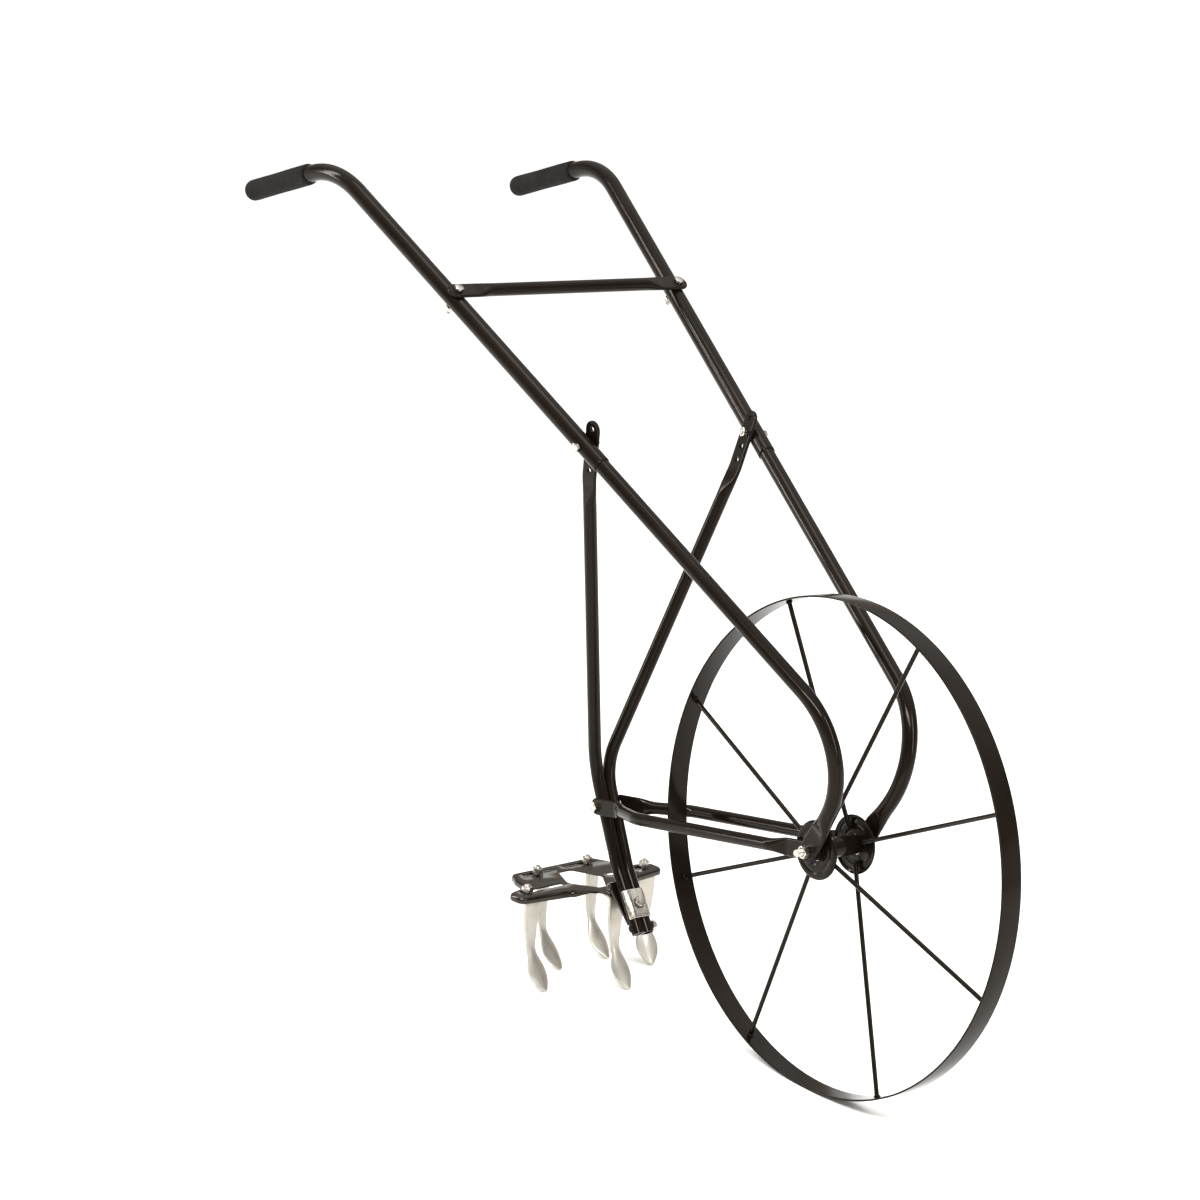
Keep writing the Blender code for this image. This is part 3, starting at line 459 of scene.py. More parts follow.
def pressed_rings(points, radius, start=None, end=None, reference=None):
    """Rings of a tube with one or both ends pressed flat; start and end are (flat, lean) lengths."""
    lengths = travelled(points)
    rings = []
    for point, length, direction in zip(points, lengths, directions(points)):
        first, second = frame_on(direction, reference(length) if reference else ACROSS)
        section = circle(radius, TUBE_SIDES)
        if start and length < start[0] + start[1]:
            section = pressed_section(radius, length, *start)
        if end and lengths[-1] - length < end[0] + end[1]:
            section = pressed_section(radius, lengths[-1] - length, *end)
        rings.append(placed(section, point, first, second))
    return rings


def mirrored(points, side):
    """The points on the left side (1), or their mirror image on the right (-1)."""
    return [Vector((point.x, point.y * side, point.z)) for point in points]


def spun(profile, centre, axis, steps):
    """A closed profile of (radius, along) points spun about an axis."""
    first, _ = frame_about(axis)
    axis = axis.normalized()
    bm = bmesh.new()
    points = [bm.verts.new(centre + first * radius + axis * along) for radius, along in profile]
    edges = [bm.edges.new((point, after)) for point, after in zip(points, points[1:] + points[:1])]
    bmesh.ops.spin(bm, geom=points + edges, cent=centre, axis=axis, dvec=(0, 0, 0),
                   angle=2 * math.pi, steps=steps, use_merge=True)
    return bm


def softened(profile, radius, pieces=3):
    """A closed (radius, along) profile with its corners rounded off."""
    points = []
    count = len(profile)
    for i in range(count):
        corner = Vector(profile[i])
        back = Vector(profile[i - 1]) - corner
        on = Vector(profile[(i + 1) % count]) - corner
        cut = min(radius, back.length * 0.45, on.length * 0.45)
        start, finish = corner + back.normalized() * cut, corner + on.normalized() * cut
        for j in range(pieces + 1):
            t = j / pieces
            point = start * (1 - t) ** 2 + corner * 2 * t * (1 - t) + finish * t * t
            points.append((point.x, point.y))
    return points


# ---- bolts, nuts and washers -------------------------------------------------
def hex_radius(angle, across_flats):
    """The distance from a hexagon's middle to its edge at an angle."""
    part = (angle + math.pi / 6) % (math.pi / 3) - math.pi / 6
    return across_flats / 2 / math.cos(part)


def hex_rings(across_flats, height, centre, axis, turn=0.0):
    """Rings of a hexagon body with chamfered corners, from its seat to its outer face."""
    first, second = frame_about(axis)
    axis = axis.normalized()
    angles = [2 * math.pi * i / HEX_SIDES for i in range(HEX_SIDES)]
    crown = across_flats / 2 * 0.93

    def ring(radii, heights):
        return [centre + axis * h + (first * math.cos(a + turn) + second * math.sin(a + turn)) * r
                for a, r, h in zip(angles, radii, heights)]

    hexes = [hex_radius(a, across_flats) for a in angles]
    drop = [height - (r - crown) * 0.55 for r in hexes]
    rise = [0.0002 + max(r - across_flats / 2, 0) * 0.35 for r in hexes]
    seat_circle = ring([crown] * HEX_SIDES, [0] * HEX_SIDES)
    crown_circle = ring([crown] * HEX_SIDES, [height] * HEX_SIDES)
    return [seat_circle, ring(hexes, rise), ring(hexes, drop), crown_circle]


def thread_rings(radius, start, axis, length, pitch=0.00125, depth=0.00042):
    """Rings of a shaft with a raised spiral thread and a chamfered tip."""
    first, second = frame_about(axis)
    axis = axis.normalized()
    count = max(int(length / pitch * 7), 8)    # seven rings to a turn of the thread
    rings = []
    for i in range(count + 1):
        along = length * i / count
        taper = min(1.0, (length - along) / 0.0011)
        ring = []
        for j in range(SHAFT_SIDES):
            angle = 2 * math.pi * j / SHAFT_SIDES
            phase = (along / pitch - j / SHAFT_SIDES) % 1.0
            ridge = 1 - abs(phase * 2 - 1)
            r = radius - depth * (1 - ridge) - (1 - taper) * depth * 1.6
            ring.append(start + axis * along + first * r * math.cos(angle) + second * r * math.sin(angle))
        rings.append(ring)
    return rings


def add_shaft(bm, radius, start, axis, sunk, plain, length):
    """Adds a shaft that starts sunk in the head and is plain at first, then threaded."""
    first, second = frame_about(axis)
    round_shaft = circle(radius, SHAFT_SIDES)
    add_capped(bm, [placed(round_shaft, start + axis * along, first, second) for along in (-sunk, plain)])
    add_capped(bm, thread_rings(radius, start + axis * plain, axis, length - plain))


def domed_head(profile, seat, axis):
    """A round head from a profile of (radius, distance along the axis)."""
    first, second = frame_about(axis)
    return capped([placed(circle(r, DOME_SIDES), seat + axis * along, first, second)
                   for r, along in profile])


def bolt(name, size, seat, axis, length, body, threaded=0.020, turn=0.0):
    """A hex bolt: its head on the seat, its shaft along the axis and threaded at the end."""
    across_flats, head, radius, _ = size
    axis = axis.normalized()
    bm = capped(hex_rings(across_flats, head, seat, -axis, turn))
    sunk = 0.0008
    add_shaft(bm, radius, seat, axis, sunk, max(length - threaded, sunk), length)
    piece(name + "_detail", bm, ZINC, body, [name])


def nut(name, size, seat, axis, body, turn=0.0):
    """A chamfered nut with a countersunk mouth at each end of its bore."""
    across_flats, _, radius, height = size
    axis = axis.normalized()
    rings = hex_rings(across_flats, height, seat, axis, turn)
    first, second = frame_about(axis)
    angles = [2 * math.pi * i / HEX_SIDES + turn for i in range(HEX_SIDES)]
    mouth, bore, sink = radius * 1.22, radius * 1.03, 0.0007
    for r, along in ((mouth, height), (bore, height - sink), (bore, sink), (mouth, 0)):
        rings.append([seat + axis * along + (first * math.cos(a) + second * math.sin(a)) * r
                      for a in angles])
    bm = bmesh.new()
    add_looped(bm, rings)
    piece(name + "_detail", bm, ZINC, body, [name])


def washer(name, radius, hole, thick, seat, axis, body):
    profile = softened([(hole, 0), (radius, 0), (radius, thick), (hole, thick)], thick * 0.35)
    return piece(name, spun(profile, seat, axis, 40), WASHER_ZINC, body)


# ---- wheel -------------------------------------------------------------------
def bead(bm, centre, axis, radius, size, seed, steps=24, sides=8):
    """A rough weld bead round a rod, as one lumpy ring."""
    first, second = frame_about(axis)
    axis = axis.normalized()
    rings = []
    for i in range(steps):
        angle = 2 * math.pi * i / steps
        arm = first * math.cos(angle) + second * math.sin(angle)
        lump = 1 + 0.28 * noise.noise(Vector((math.cos(angle) * 1.7, math.sin(angle) * 1.7, seed * 3.1)))
        ring = []
        for j in range(sides):
            turn = 2 * math.pi * j / sides
            out = arm * (radius + size * lump * 0.9 * math.cos(turn))
            ring.append(centre + out + axis * size * lump * math.sin(turn))
        rings.append(ring)
    add_looped(bm, rings)


def spokes():
    """Eight rods from alternate flanges to the rim, welded at both ends."""
    welds = bmesh.new()
    for i, bearing in enumerate(SPOKE_ANGLES):
        angle = math.radians(bearing)
        arm = Vector((math.cos(angle), 0, math.sin(angle)))
        side = 1 if i % 2 == 0 else -1
        hub_end = arm * SPOKE_HUB_RADIUS + ACROSS * side * SPOKE_HUB_SIDE
        rim_end = arm * (WHEEL_RADIUS - RIM_THICKNESS - GAP) + ACROSS * side * SPOKE_RIM_SIDE
        run = (rim_end - hub_end).normalized()
        first, second = frame_on(run, ACROSS)
        stations = [(0.0, 0.45), (0.0006, 0.80), (0.0016, 0.97), (0.0030, 1.0)]
        stations += [(along, 1.0) for along in (0.08, 0.16, 0.22, (rim_end - hub_end).length)]
        rings = [placed(circle(SPOKE * share, 20), hub_end + run * along, first, second)
                 for along, share in stations]
        piece(f"spoke_{i + 1}_rod", capped(rings), BLACK, "wheel", [f"spoke_{i + 1}"])
        bead(welds, rim_end - run * 0.0009, run, SPOKE, 0.0014, i)
        contact = hub_end + run * 0.0075 + ACROSS * side * 0.0022
        for j in range(3):
            bead(welds, contact + run * (j - 1) * 0.0045, first, 0.0010, 0.0011, i * 7 + j)
    piece("spoke_welds", welds, BLACK, "wheel", (), 60)


def wheel():
    outer, inner = WHEEL_RADIUS, WHEEL_RADIUS - RIM_THICKNESS
    rim = softened([(inner, -RIM_HALF), (outer, -RIM_HALF), (outer, RIM_HALF), (inner, RIM_HALF)], 0.0010, 4)
    piece("wheel_rim_band", spun(rim, ORIGIN, ACROSS, 288), BLACK, "wheel", ["wheel_rim"], 50)
    spokes()
    barrel = [(HUB_BORE, -HUB_HALF), (HUB_RADIUS, -HUB_HALF), (HUB_RADIUS, HUB_HALF), (HUB_BORE, HUB_HALF)]
    piece("hub_barrel_tube", spun(softened(barrel, 0.0006), ORIGIN, ACROSS, 48), BLACK, "wheel",
          ["hub_barrel"])
    hole = HUB_RADIUS + GAP
    flange = softened([
        (hole, -0.0002), (0.0160, -0.0002), (0.0180, 0.0006), (0.0235, 0.0006), (0.0262, -0.0001),
        (0.0300, 0.0010), (0.0330, 0.0010), (0.0358, -0.0018), (0.0365, -0.0016), (0.0365, 0.0004),
        (0.0350, 0.0022), (0.0338, 0.0032), (0.0296, 0.0032), (0.0262, 0.0021), (0.0232, 0.0028),
        (0.0180, 0.0028), (0.0160, 0.0020), (hole, 0.0020)], 0.0007)
    for word, side in SIDES:
        seat = ACROSS * side * FLANGE_SIDE
        piece(f"hub_flange_{word}_disc", spun(flange, seat, ACROSS * side, 96), BLACK, "wheel",
              [f"hub_flange_{word}"], 40)
        repaint(f"hub_bush_{word}", BRONZE)


def axle():
    repaint("axle_sleeve", ZINC)
    outside = HANDLE_FOOT.y + FLAT + GAP
    bolt("axle_bolt", BIG, ACROSS * outside, -ACROSS, 2 * outside + 0.0170, "frame", threaded=0.026)
    nut("axle_nut", BIG, -ACROSS * outside, -ACROSS, "frame")


# ---- handles -----------------------------------------------------------------
def handle_at(x):
    """The left handle's centre line at an x, on its straight run."""
    return HANDLE_LOW.lerp(HANDLE_HIGH, (x - HANDLE_LOW.x) / (HANDLE_HIGH.x - HANDLE_LOW.x))


HANDLE_RUN = (HANDLE_HIGH - HANDLE_LOW).normalized()
HANDLE_OUTWARD = (ACROSS - HANDLE_RUN * ACROSS.dot(HANDLE_RUN)).normalized()
CROSSBAR_NORMAL = ACROSS.cross(Vector((HANDLE_RUN.x, 0, HANDLE_RUN.z))).normalized()


def handles():
    """Each handle is a lower tube, bent down to the axle, inside an upper tube with a grip."""
    flat, lean = 0.0400, 0.0350
    tip = Vector((0, HANDLE_FOOT.y, 0))
    tip -= Vector((HANDLE_FOOT.x, 0, HANDLE_FOOT.z)).normalized() * flat_width(LOWER_TUBE, FLAT)
    low = [handle_at(OVERLAP_END_X + 0.05), handle_at(HANDLE_BEND_LOW_X), HANDLE_FOOT, tip]
    low = rounded_path(low, (0.1075, 0.03), 30)
    low = with_stops(low, end_stops(LOWER_TUBE, flat, lean, True))
    top = rounded_path([handle_at(SEAM_X), handle_at(HANDLE_BEND_TOP_X), HANDLE_TAIL], (0.1150,), 30)
    grip_from = travelled(top)[-1] - GRIP_LENGTH + GRIP_END
    for word, side in SIDES:
        rings = pressed_rings(mirrored(low, side), LOWER_TUBE, end=(flat, lean))
        piece(f"lower_handle_{word}_tube", capped(rings), BLACK, "frame", [f"lower_handle_{word}"])
        path = with_stops(mirrored(top, side), [0.0004, 0.0010, 0.0020])
        outer = []
        for length, ring_at, run in zip(travelled(path), path, directions(path)):
            first, second = frame_on(run, ACROSS)
            ease = max(0.0, 1 - length / 0.0010)
            outer.append(placed(circle(UPPER_TUBE - 0.0005 * ease, TUBE_SIDES), ring_at, first, second))
        run = (path[1] - path[0]).normalized()
        first, second = frame_on(path[1] - path[0], ACROSS)
        bore = circle(LOWER_TUBE + 0.0002, TUBE_SIDES)
        mouth = [placed(bore, path[0] + run * along, first, second) for along in (0.004, 0.0)]
        piece(f"upper_handle_{word}_tube", capped(mouth + outer), BLACK, "frame", [f"upper_handle_{word}"])
        grip(word, mirrored(with_stops(top, [grip_from]), side), grip_from)


def grip(word, path, grip_from):
    """A moulded sleeve with a rolled front edge, a faint swell and a domed end."""
    lengths = travelled(path)
    path = [point for point, length in zip(path, lengths) if length > grip_from - SAME_STATION]
    reach = travelled(path)[-1]
    path = with_stops(path, [0.0006, 0.0016, 0.0030, 0.0050] + [reach * i / 16 for i in range(1, 16)])
    rings = []
    for along, point, run in zip(travelled(path), path, directions(path)):
        first, second = frame_on(run, ACROSS)
        share = 1.0 - 0.16 * max(0.0, 1 - along / 0.0022) ** 2    # the rolled edge
        share += 0.010 * math.sin(along * 60)    # a faint swell along the sleeve
        rings.append(placed(circle(GRIP_RADIUS * share * 0.99, TUBE_SIDES), point, first, second))
    run = (path[-1] - path[-2]).normalized()
    first, second = frame_on(run, ACROSS)
    rings.pop()
    dome_from = 0.0045
    for i in range(9):
        angle = math.radians(10 * i)
        radius = GRIP_RADIUS * (0.55 + 0.45 * math.cos(angle)) * 0.99
        beyond = -dome_from + (GRIP_END + dome_from) * math.sin(angle)
        rings.append(placed(circle(radius, TUBE_SIDES), path[-1] + run * beyond, first, second))
    piece(f"grip_{word}_sleeve", capped(rings), FOAM, "frame", [f"grip_{word}"], 60)


# ---- crossbar ----------------------------------------------------------------
def crossbar():
    """A tube across the handles with both ends pressed flat, held by a bolt through each handle."""
    flat, lean = 0.0400, 0.0300
    joint = handle_at(CROSSBAR_BOLT_X)
    above = CROSSBAR_NORMAL * (UPPER_TUBE + GAP + FLAT)
    end = joint + above + ACROSS * CROSSBAR_BEYOND
    path = with_stops([Vector((end.x, -end.y, end.z)), end],
                      end_stops(LEG, flat, lean, False) + end_stops(LEG, flat, lean, True))
    rings = pressed_rings(path, LEG, (flat, lean), (flat, lean), lambda length: CROSSBAR_NORMAL)
    piece("crossbar_tube", capped(rings), BLACK, "frame", ["crossbar"])
    for word, side in SIDES:
        centre = mirrored([joint], side)[0]
        seat = centre + CROSSBAR_NORMAL * (UPPER_TUBE + 2 * GAP + 2 * FLAT)
        under = centre - CROSSBAR_NORMAL * (UPPER_TUBE + GAP)
        length = (seat - under).length + 0.0110
        bolt(f"crossbar_bolt_{word}", SMALL, seat, -CROSSBAR_NORMAL, length, "frame", turn=0.3)
        nut(f"crossbar_nut_{word}", SMALL, under, -CROSSBAR_NORMAL, "frame", turn=0.5)


# ---- braces and stays --------------------------------------------------------
def foot_frame():
    """Down the legs' lower run, forward of them, and the bend where the run starts."""
    along = Vector((FOOT.x - LOWER_BEND.x, 0, FOOT.z - LOWER_BEND.z)).normalized()
    return along, along.cross(ACROSS), Vector((LOWER_BEND.x, 0, LOWER_BEND.z))


def press_together(ring, side, gap):
    """Flattens a leg's ring against the middle plane, where the other leg touches it."""
    return [Vector((point.x, side * max(point.y * side, gap), point.z)) for point in ring]


def strap_frame():
    """Outward from the left leg's strap, down along it, and its middle at the bolt."""
    joint = handle_at(BRACE_BOLT_X)
    down = (KNEE - joint).normalized()
    flush = HANDLE_RUN.cross(down).normalized()
    flush *= math.copysign(1, flush.y)
    outward = HANDLE_OUTWARD.lerp(flush, BRACE_LEAN).normalized()
    centre = joint - outward * (UPPER_TUBE + GAP + FLAT)
    down = KNEE - centre
    down = (down - outward * down.dot(outward)).normalized()
    return outward, down, centre


def punched(made, holes, radius, depth):
    """Cuts round holes through a finished piece; each is (centre from the axle, axis)."""
    for centre, axis in holes:
        bm = bmesh.new()
        bmesh.ops.create_cone(bm, cap_ends=True, segments=DOME_SIDES, radius1=radius, radius2=radius,
                              depth=depth)
        mesh = bpy.data.meshes.new("hole")
        bm.to_mesh(mesh)
        bm.free()
        cutter = bpy.data.objects.new("hole", mesh)
        turn = axis.to_track_quat("Z", "Y").to_matrix().to_4x4()
        cutter.matrix_world = Matrix.Translation(AXLE + centre) @ turn
        bpy.context.scene.collection.objects.link(cutter)
        cut = made.modifiers.new("hole", "BOOLEAN")
        cut.operation = "DIFFERENCE"
        cut.solver = "EXACT"
        cut.object = cutter
        bpy.context.view_layer.update()
        result = bpy.data.meshes.new_from_object(made.evaluated_get(bpy.context.evaluated_depsgraph_get()))
        made.modifiers.clear()
        made.data = result
        bpy.data.objects.remove(cutter)
    made.data.shade_smooth()
    made.data.set_sharp_from_angle(angle=math.radians(32))


def braces():
    """Two legs, each a punched strap on its handle and then a tube beside the other's."""
    flat_below, lean, tip, bend_below = 0.0550, 0.0350, 0.0105, 0.0480
    outward, down, strap_at = strap_frame()
    flat = BRACE_PITCH + tip + flat_below
    corners = [strap_at - down * (BRACE_PITCH + tip), strap_at + down * bend_below, KNEE, LOWER_BEND, FOOT]
    path = rounded_path(corners, (0.06, 0.09, 0.10), 24)
    foot_stops = [-0.0004, -0.0012, -0.0040, -0.0160, -0.0300]
    path = with_stops(path, end_stops(LEG, flat, lean, False) + foot_stops)
    for word, side in SIDES:
        across = Vector((outward.x, outward.y * side, outward.z))
        upright = Vector((0, side, 0))
        leg = mirrored(path, side)
        lengths = travelled(leg)

        def reference(length):
            return across.lerp(upright, min(max((length - flat) / lean, 0.0), 1.0))

        rings = pressed_rings(leg, LEG, start=(flat, lean), reference=reference)
        rings = [press_together(ring, side, GAP / 2) for ring in rings]
        inside = [point for point, length in zip(leg, lengths) if length > lengths[-1] - 0.031]
        bore = [press_together(ring, side, GAP / 2 + LEG_WALL)
                for ring in pressed_rings(inside, LEG - LEG_WALL)]
        made = piece(f"brace_{word}_leg", capped(rings + bore[::-1]), BLACK, "frame", [f"brace_{word}"])
        strap_down = Vector((down.x, down.y * side, down.z))
        strap_centre = mirrored([strap_at], side)[0]
        holes = [(strap_centre + strap_down * BRACE_PITCH * place, across) for place in (-1, 1, 2)]
        punched(made, holes, BRACE_HOLE, 0.02)
        seat = mirrored([handle_at(BRACE_BOLT_X)], side)[0] + across * (UPPER_TUBE + GAP)
        inside_seat = strap_centre - across * (FLAT + GAP)
        bolt(f"brace_bolt_{word}", SMALL, seat, -across, (seat - inside_seat).length + 0.0080, "frame")
        nut(f"brace_nut_{word}", SMALL, inside_seat, -across, "frame", turn=0.35)


def stays():
    """Two tubes from the legs, past the wheel, to the axle, with their ends pressed flat."""
    flat_rear, flat_front, lean = 0.0480, 0.0520, 0.0300
    strap_side = STAY_JOINT.y + LEG + GAP + FLAT
    run = Vector((-STAY_JOINT.x, 0, -STAY_JOINT.z)).normalized()
    wide = flat_width(STAY, FLAT)
    joint = Vector((STAY_JOINT.x, 0, STAY_JOINT.z))

    def on_line(distance, across):
        return joint + run * distance + ACROSS * across

    reach = joint.length
    corners = [on_line(-wide + 0.001, strap_side), on_line(0.046, strap_side), on_line(0.115, STAY_SIDE),
               on_line(reach - 0.072, STAY_SIDE), on_line(reach - 0.044, STAY_HUB_SIDE),
               on_line(reach + wide, STAY_HUB_SIDE)]
    path = rounded_path(corners, (0.06, 0.06, 0.03, 0.03), 12)
    stops = end_stops(STAY, flat_rear, lean, False) + end_stops(STAY, flat_front, lean, True)
    path = with_stops(path, stops)
    for word, side in SIDES:
        rings = pressed_rings(mirrored(path, side), STAY, (flat_rear, lean), (flat_front, lean))
        piece(f"stay_{word}_tube", capped(rings), BLACK, "frame", [f"stay_{word}"])
    outside = strap_side + FLAT + GAP
    seat = Vector((STAY_JOINT.x, -outside, STAY_JOINT.z))
    bolt("stay_bolt", MIDDLE, seat, ACROSS, 2 * outside + 0.0110, "frame")
    nut("stay_nut", MIDDLE, Vector((STAY_JOINT.x, outside, STAY_JOINT.z)), ACROSS, "frame")


# ---- clamp and foot ----------------------------------------------------------
def clamp_outline(radius, reach, pieces=14):
    """An arc round each leg, through reach degrees on its outer side, joined straight across."""
    points = []
    for i in range(pieces):
        angle = math.radians(reach * (1 - i / (pieces - 1)))
        points.append((radius * math.cos(angle), LOWER_BEND.y + radius * math.sin(angle)))
    return points + [(ahead, -across) for ahead, across in reversed(points)]


def clamp():
    """A saddle of sheet round the front of the legs, its bolt, and the bolt across the foot."""
    along, forward, bend = foot_frame()
    inside = LEG + GAP
    outside = inside + CLAMP_SHEET
    rings = []
    for place, shrink in ((CLAMP_FROM, 0.0006), (CLAMP_FROM + 0.0003, 0.0002), (CLAMP_FROM + 0.0009, 0.0),
                          (CLAMP_TO - 0.0009, 0.0), (CLAMP_TO - 0.0003, 0.0002), (CLAMP_TO, 0.0006)):
        wrap = CLAMP_WRAP - shrink * 2000
        outline = clamp_outline(outside - shrink, wrap) + clamp_outline(inside + shrink * 0.5, wrap)[::-1]
        rings.append(placed(outline, bend + along * place, forward, ACROSS))
    bm = bmesh.new()
    made = skin(bm, rings)
    for ring in (made[0], made[-1]):
        half = len(ring) // 2
        for i in range(half - 1):
            bm.faces.new((ring[i], ring[i + 1], ring[-2 - i], ring[-1 - i]))
    piece("tool_clamp_saddle", bm, ZINC, "frame", ["tool_clamp"], 40)
    middle = bend + along * (CLAMP_FROM + CLAMP_TO) / 2
    seat = middle + forward * (outside + GAP)
    behind = middle - forward * (inside + SHANK_SHEET + GAP)
    washer("clamp_washer", 0.0078, 0.0043, 0.0010, seat - forward * 0.0002, forward, "frame")
    length = (seat - behind).length + 0.0113
    bolt("clamp_bolt", MIDDLE, seat + forward * 0.0008, -forward, length, "frame", turn=0.2)
    nut("clamp_nut", MIDDLE, behind, -forward, "frame")
    outer_side = LOWER_BEND.y + LEG + GAP
    seat = bend + along * FOOT_BOLT_AT
    head = [(0.0006, -0.0020), (0.0030, -0.0018), (0.0046, -0.0012), (0.0054, -0.0005), (0.0055, 0.0)]
    bm = domed_head(head, seat - ACROSS * outer_side, ACROSS)
    add_capped(bm, thread_rings(SMALL[2], seat - ACROSS * outer_side, ACROSS, 2 * outer_side + 0.0085))
    piece("foot_bolt_detail", bm, BLACK, "frame", ["foot_bolt"])
    nut("foot_nut", SMALL, seat + ACROSS * outer_side, ACROSS, "frame")


def shank():
    """The strap that tapers down behind the legs; stations are (along, half width)."""
    along, forward, bend = foot_frame()
    back = bend - forward * (LEG + GAP + SHANK_SHEET)
    stations = [(0.0150, 0.0200), (0.0156, 0.0206), (0.0165, 0.0209), (0.0300, 0.0200), (0.0450, 0.0165),
                (0.0600, 0.0135), (0.0700, 0.0116), (0.0728, 0.0108), (0.0735, 0.0100)]
    rings = []
    for place, half in stations:
        section = softened([(0, -half), (SHANK_SHEET, -half), (SHANK_SHEET, half), (0, half)], 0.0009)
        rings.append(placed(section, back + along * place, forward, ACROSS))
    piece("tool_shank_blade", capped(rings), PLATE_BLACK, "frame", ["tool_shank"])


# ---- tool plate and tines ----------------------------------------------------
# Corners of the left half, front to rear: x, y and the radius of the corner.
PLATE_OUTLINE = ((-0.3927, 0.0150, 0.004), (-0.4060, 0.0165, 0.012), (-0.4285, 0.0480, 0.030),
                 (-0.4385, 0.1290, 0.011), (-0.4650, 0.1280, 0.012), (-0.4740, 0.0900, 0.006),
                 (-0.5010, 0.0820, 0.008), (-0.5210, 0.0710, 0.010))
WINDOW_OUTLINE = ((-0.4225, 0.0060, 0.004), (-0.4550, 0.0305, 0.008), (-0.4930, 0.0110, 0.006))


def turned_head(point):
    """A point of the tool head after its turn in the clamp."""
    return TOOL_PIVOT + Matrix.Rotation(math.radians(TOOL_TURN), 3, "Z") @ (point - TOOL_PIVOT)


def flat_outline(half, pieces=8):
    """A closed outline from its left half, with arcs at the corners and points 4 mm apart or less."""
    around = [*half, *((x, -y, radius) for x, y, radius in reversed(half))]
    corners = [Vector((x, y, 0)) for x, y, _ in around]
    points = []
    for i, corner in enumerate(corners):
        after = corners[(i + 1) % len(corners)]
        ends = [corners[i - 1].lerp(corner, 0.5), corner, corner.lerp(after, 0.5)]
        points += rounded_path(ends, (around[i][2],), pieces)[1:-1]
    filled = []
    for point, after in zip(points, points[1:] + points[:1]):
        filled.append(point)
        pieces_between = int((after - point).length / 0.004)
        filled += [point.lerp(after, (i + 1) / (pieces_between + 1)) for i in range(pieces_between)]
    return filled


def offset(points, inset):
    """Moves a closed outline inwards, whichever way it runs; a negative inset moves it outwards."""
    area = sum(a.x * b.y - b.x * a.y for a, b in zip(points, points[1:] + points[:1]))
    sign = 1 if area > 0 else -1
    moved = []
    count = len(points)
    for i, point in enumerate(points):
        before, after = points[i - 1], points[(i + 1) % count]
        run = (after - before).normalized()
        moved.append(point + UP.cross(run) * sign * inset)
    return moved


def slot_outline(x, from_y, to_y):
    points = []
    for end, start in ((to_y, 0), (from_y, 180)):
        for i in range(13):
            angle = math.radians(start + 15 * i)
            points.append(Vector((x + SLOT_HALF * math.cos(angle), end + SLOT_HALF * math.sin(angle), 0)))
    return points


def plate():
    """A pressed plate: flat top, rolled-down rim round the outside and the window, slots through it."""
    outer = flat_outline(PLATE_OUTLINE)
    window = flat_outline(WINDOW_OUTLINE)
    slots = [slot_outline(x, from_y, to_y)
             for x, (a, b) in zip((FRONT_ROW, REAR_ROW), SLOTS_ACROSS)
             for from_y, to_y in ((a, b), (-b, -a))]
    roll = [(0.0052, 0.0), (0.0040, -0.0002), (0.0026, -0.0008), (0.0013, -0.0018), (0.0004, -0.0032),
            (0.0, -0.0050), (0.0, -0.0085), (0.0004, -0.0092), (0.0012, -0.0095), (0.0021, -0.0092),
            (0.0026, -0.0084), (0.0028, -0.0050), (0.0029, -0.0032), (0.0034, -0.0028)]
    lip = [(0.0024, 0.0), (0.0012, -0.0002), (0.0004, -0.0008), (0.0, -0.0014), (0.0004, -0.0021),
           (0.0012, -0.0026), (0.0024, -0.0028)]
    bm = bmesh.new()

    def rim(points, profile, outward):
        """Skins a profile round an outline; its depth grows behind the plate's front edge."""
        rings = []
        for inset, z in profile:
            ring = []
            for point in offset(points, inset * outward):
                share = min(max((RIM_DEEPENS_FROM_X - point.x) / RIM_DEEPENS_OVER, 0.0), 1.0)
                low = z if z > -PLATE_WALL else -PLATE_WALL + (z + PLATE_WALL) * share
                ring.append(turned_head(point + UP * (PLATE_TOP + low)))
            rings.append(ring)
        made = skin(bm, rings)
        return made[0], made[-1]

    def wall(points):
        edge = [(-0.0005, 0.0), (0.0, -0.0004), (0.0, -0.0024), (-0.0005, -0.0028)]
        return rim(points, edge, 1)

    tops, unders = [], []
    for ends in [rim(outer, roll, 1), rim(window, lip, -1)] + [wall(points) for points in slots]:
        tops.append(ends[0])
        unders.append(ends[1])
    for loops in (tops, unders):
        edges = []
        for loop in loops:
            for a, b in zip(loop, loop[1:] + loop[:1]):
                edges.append(bm.edges.get((a, b)) or bm.edges.new((a, b)))
        bmesh.ops.triangle_fill(bm, edges=edges, use_beauty=True)
    piece("tool_plate_pressing", bm, PLATE_BLACK, "frame", ["tool_plate"], 40)


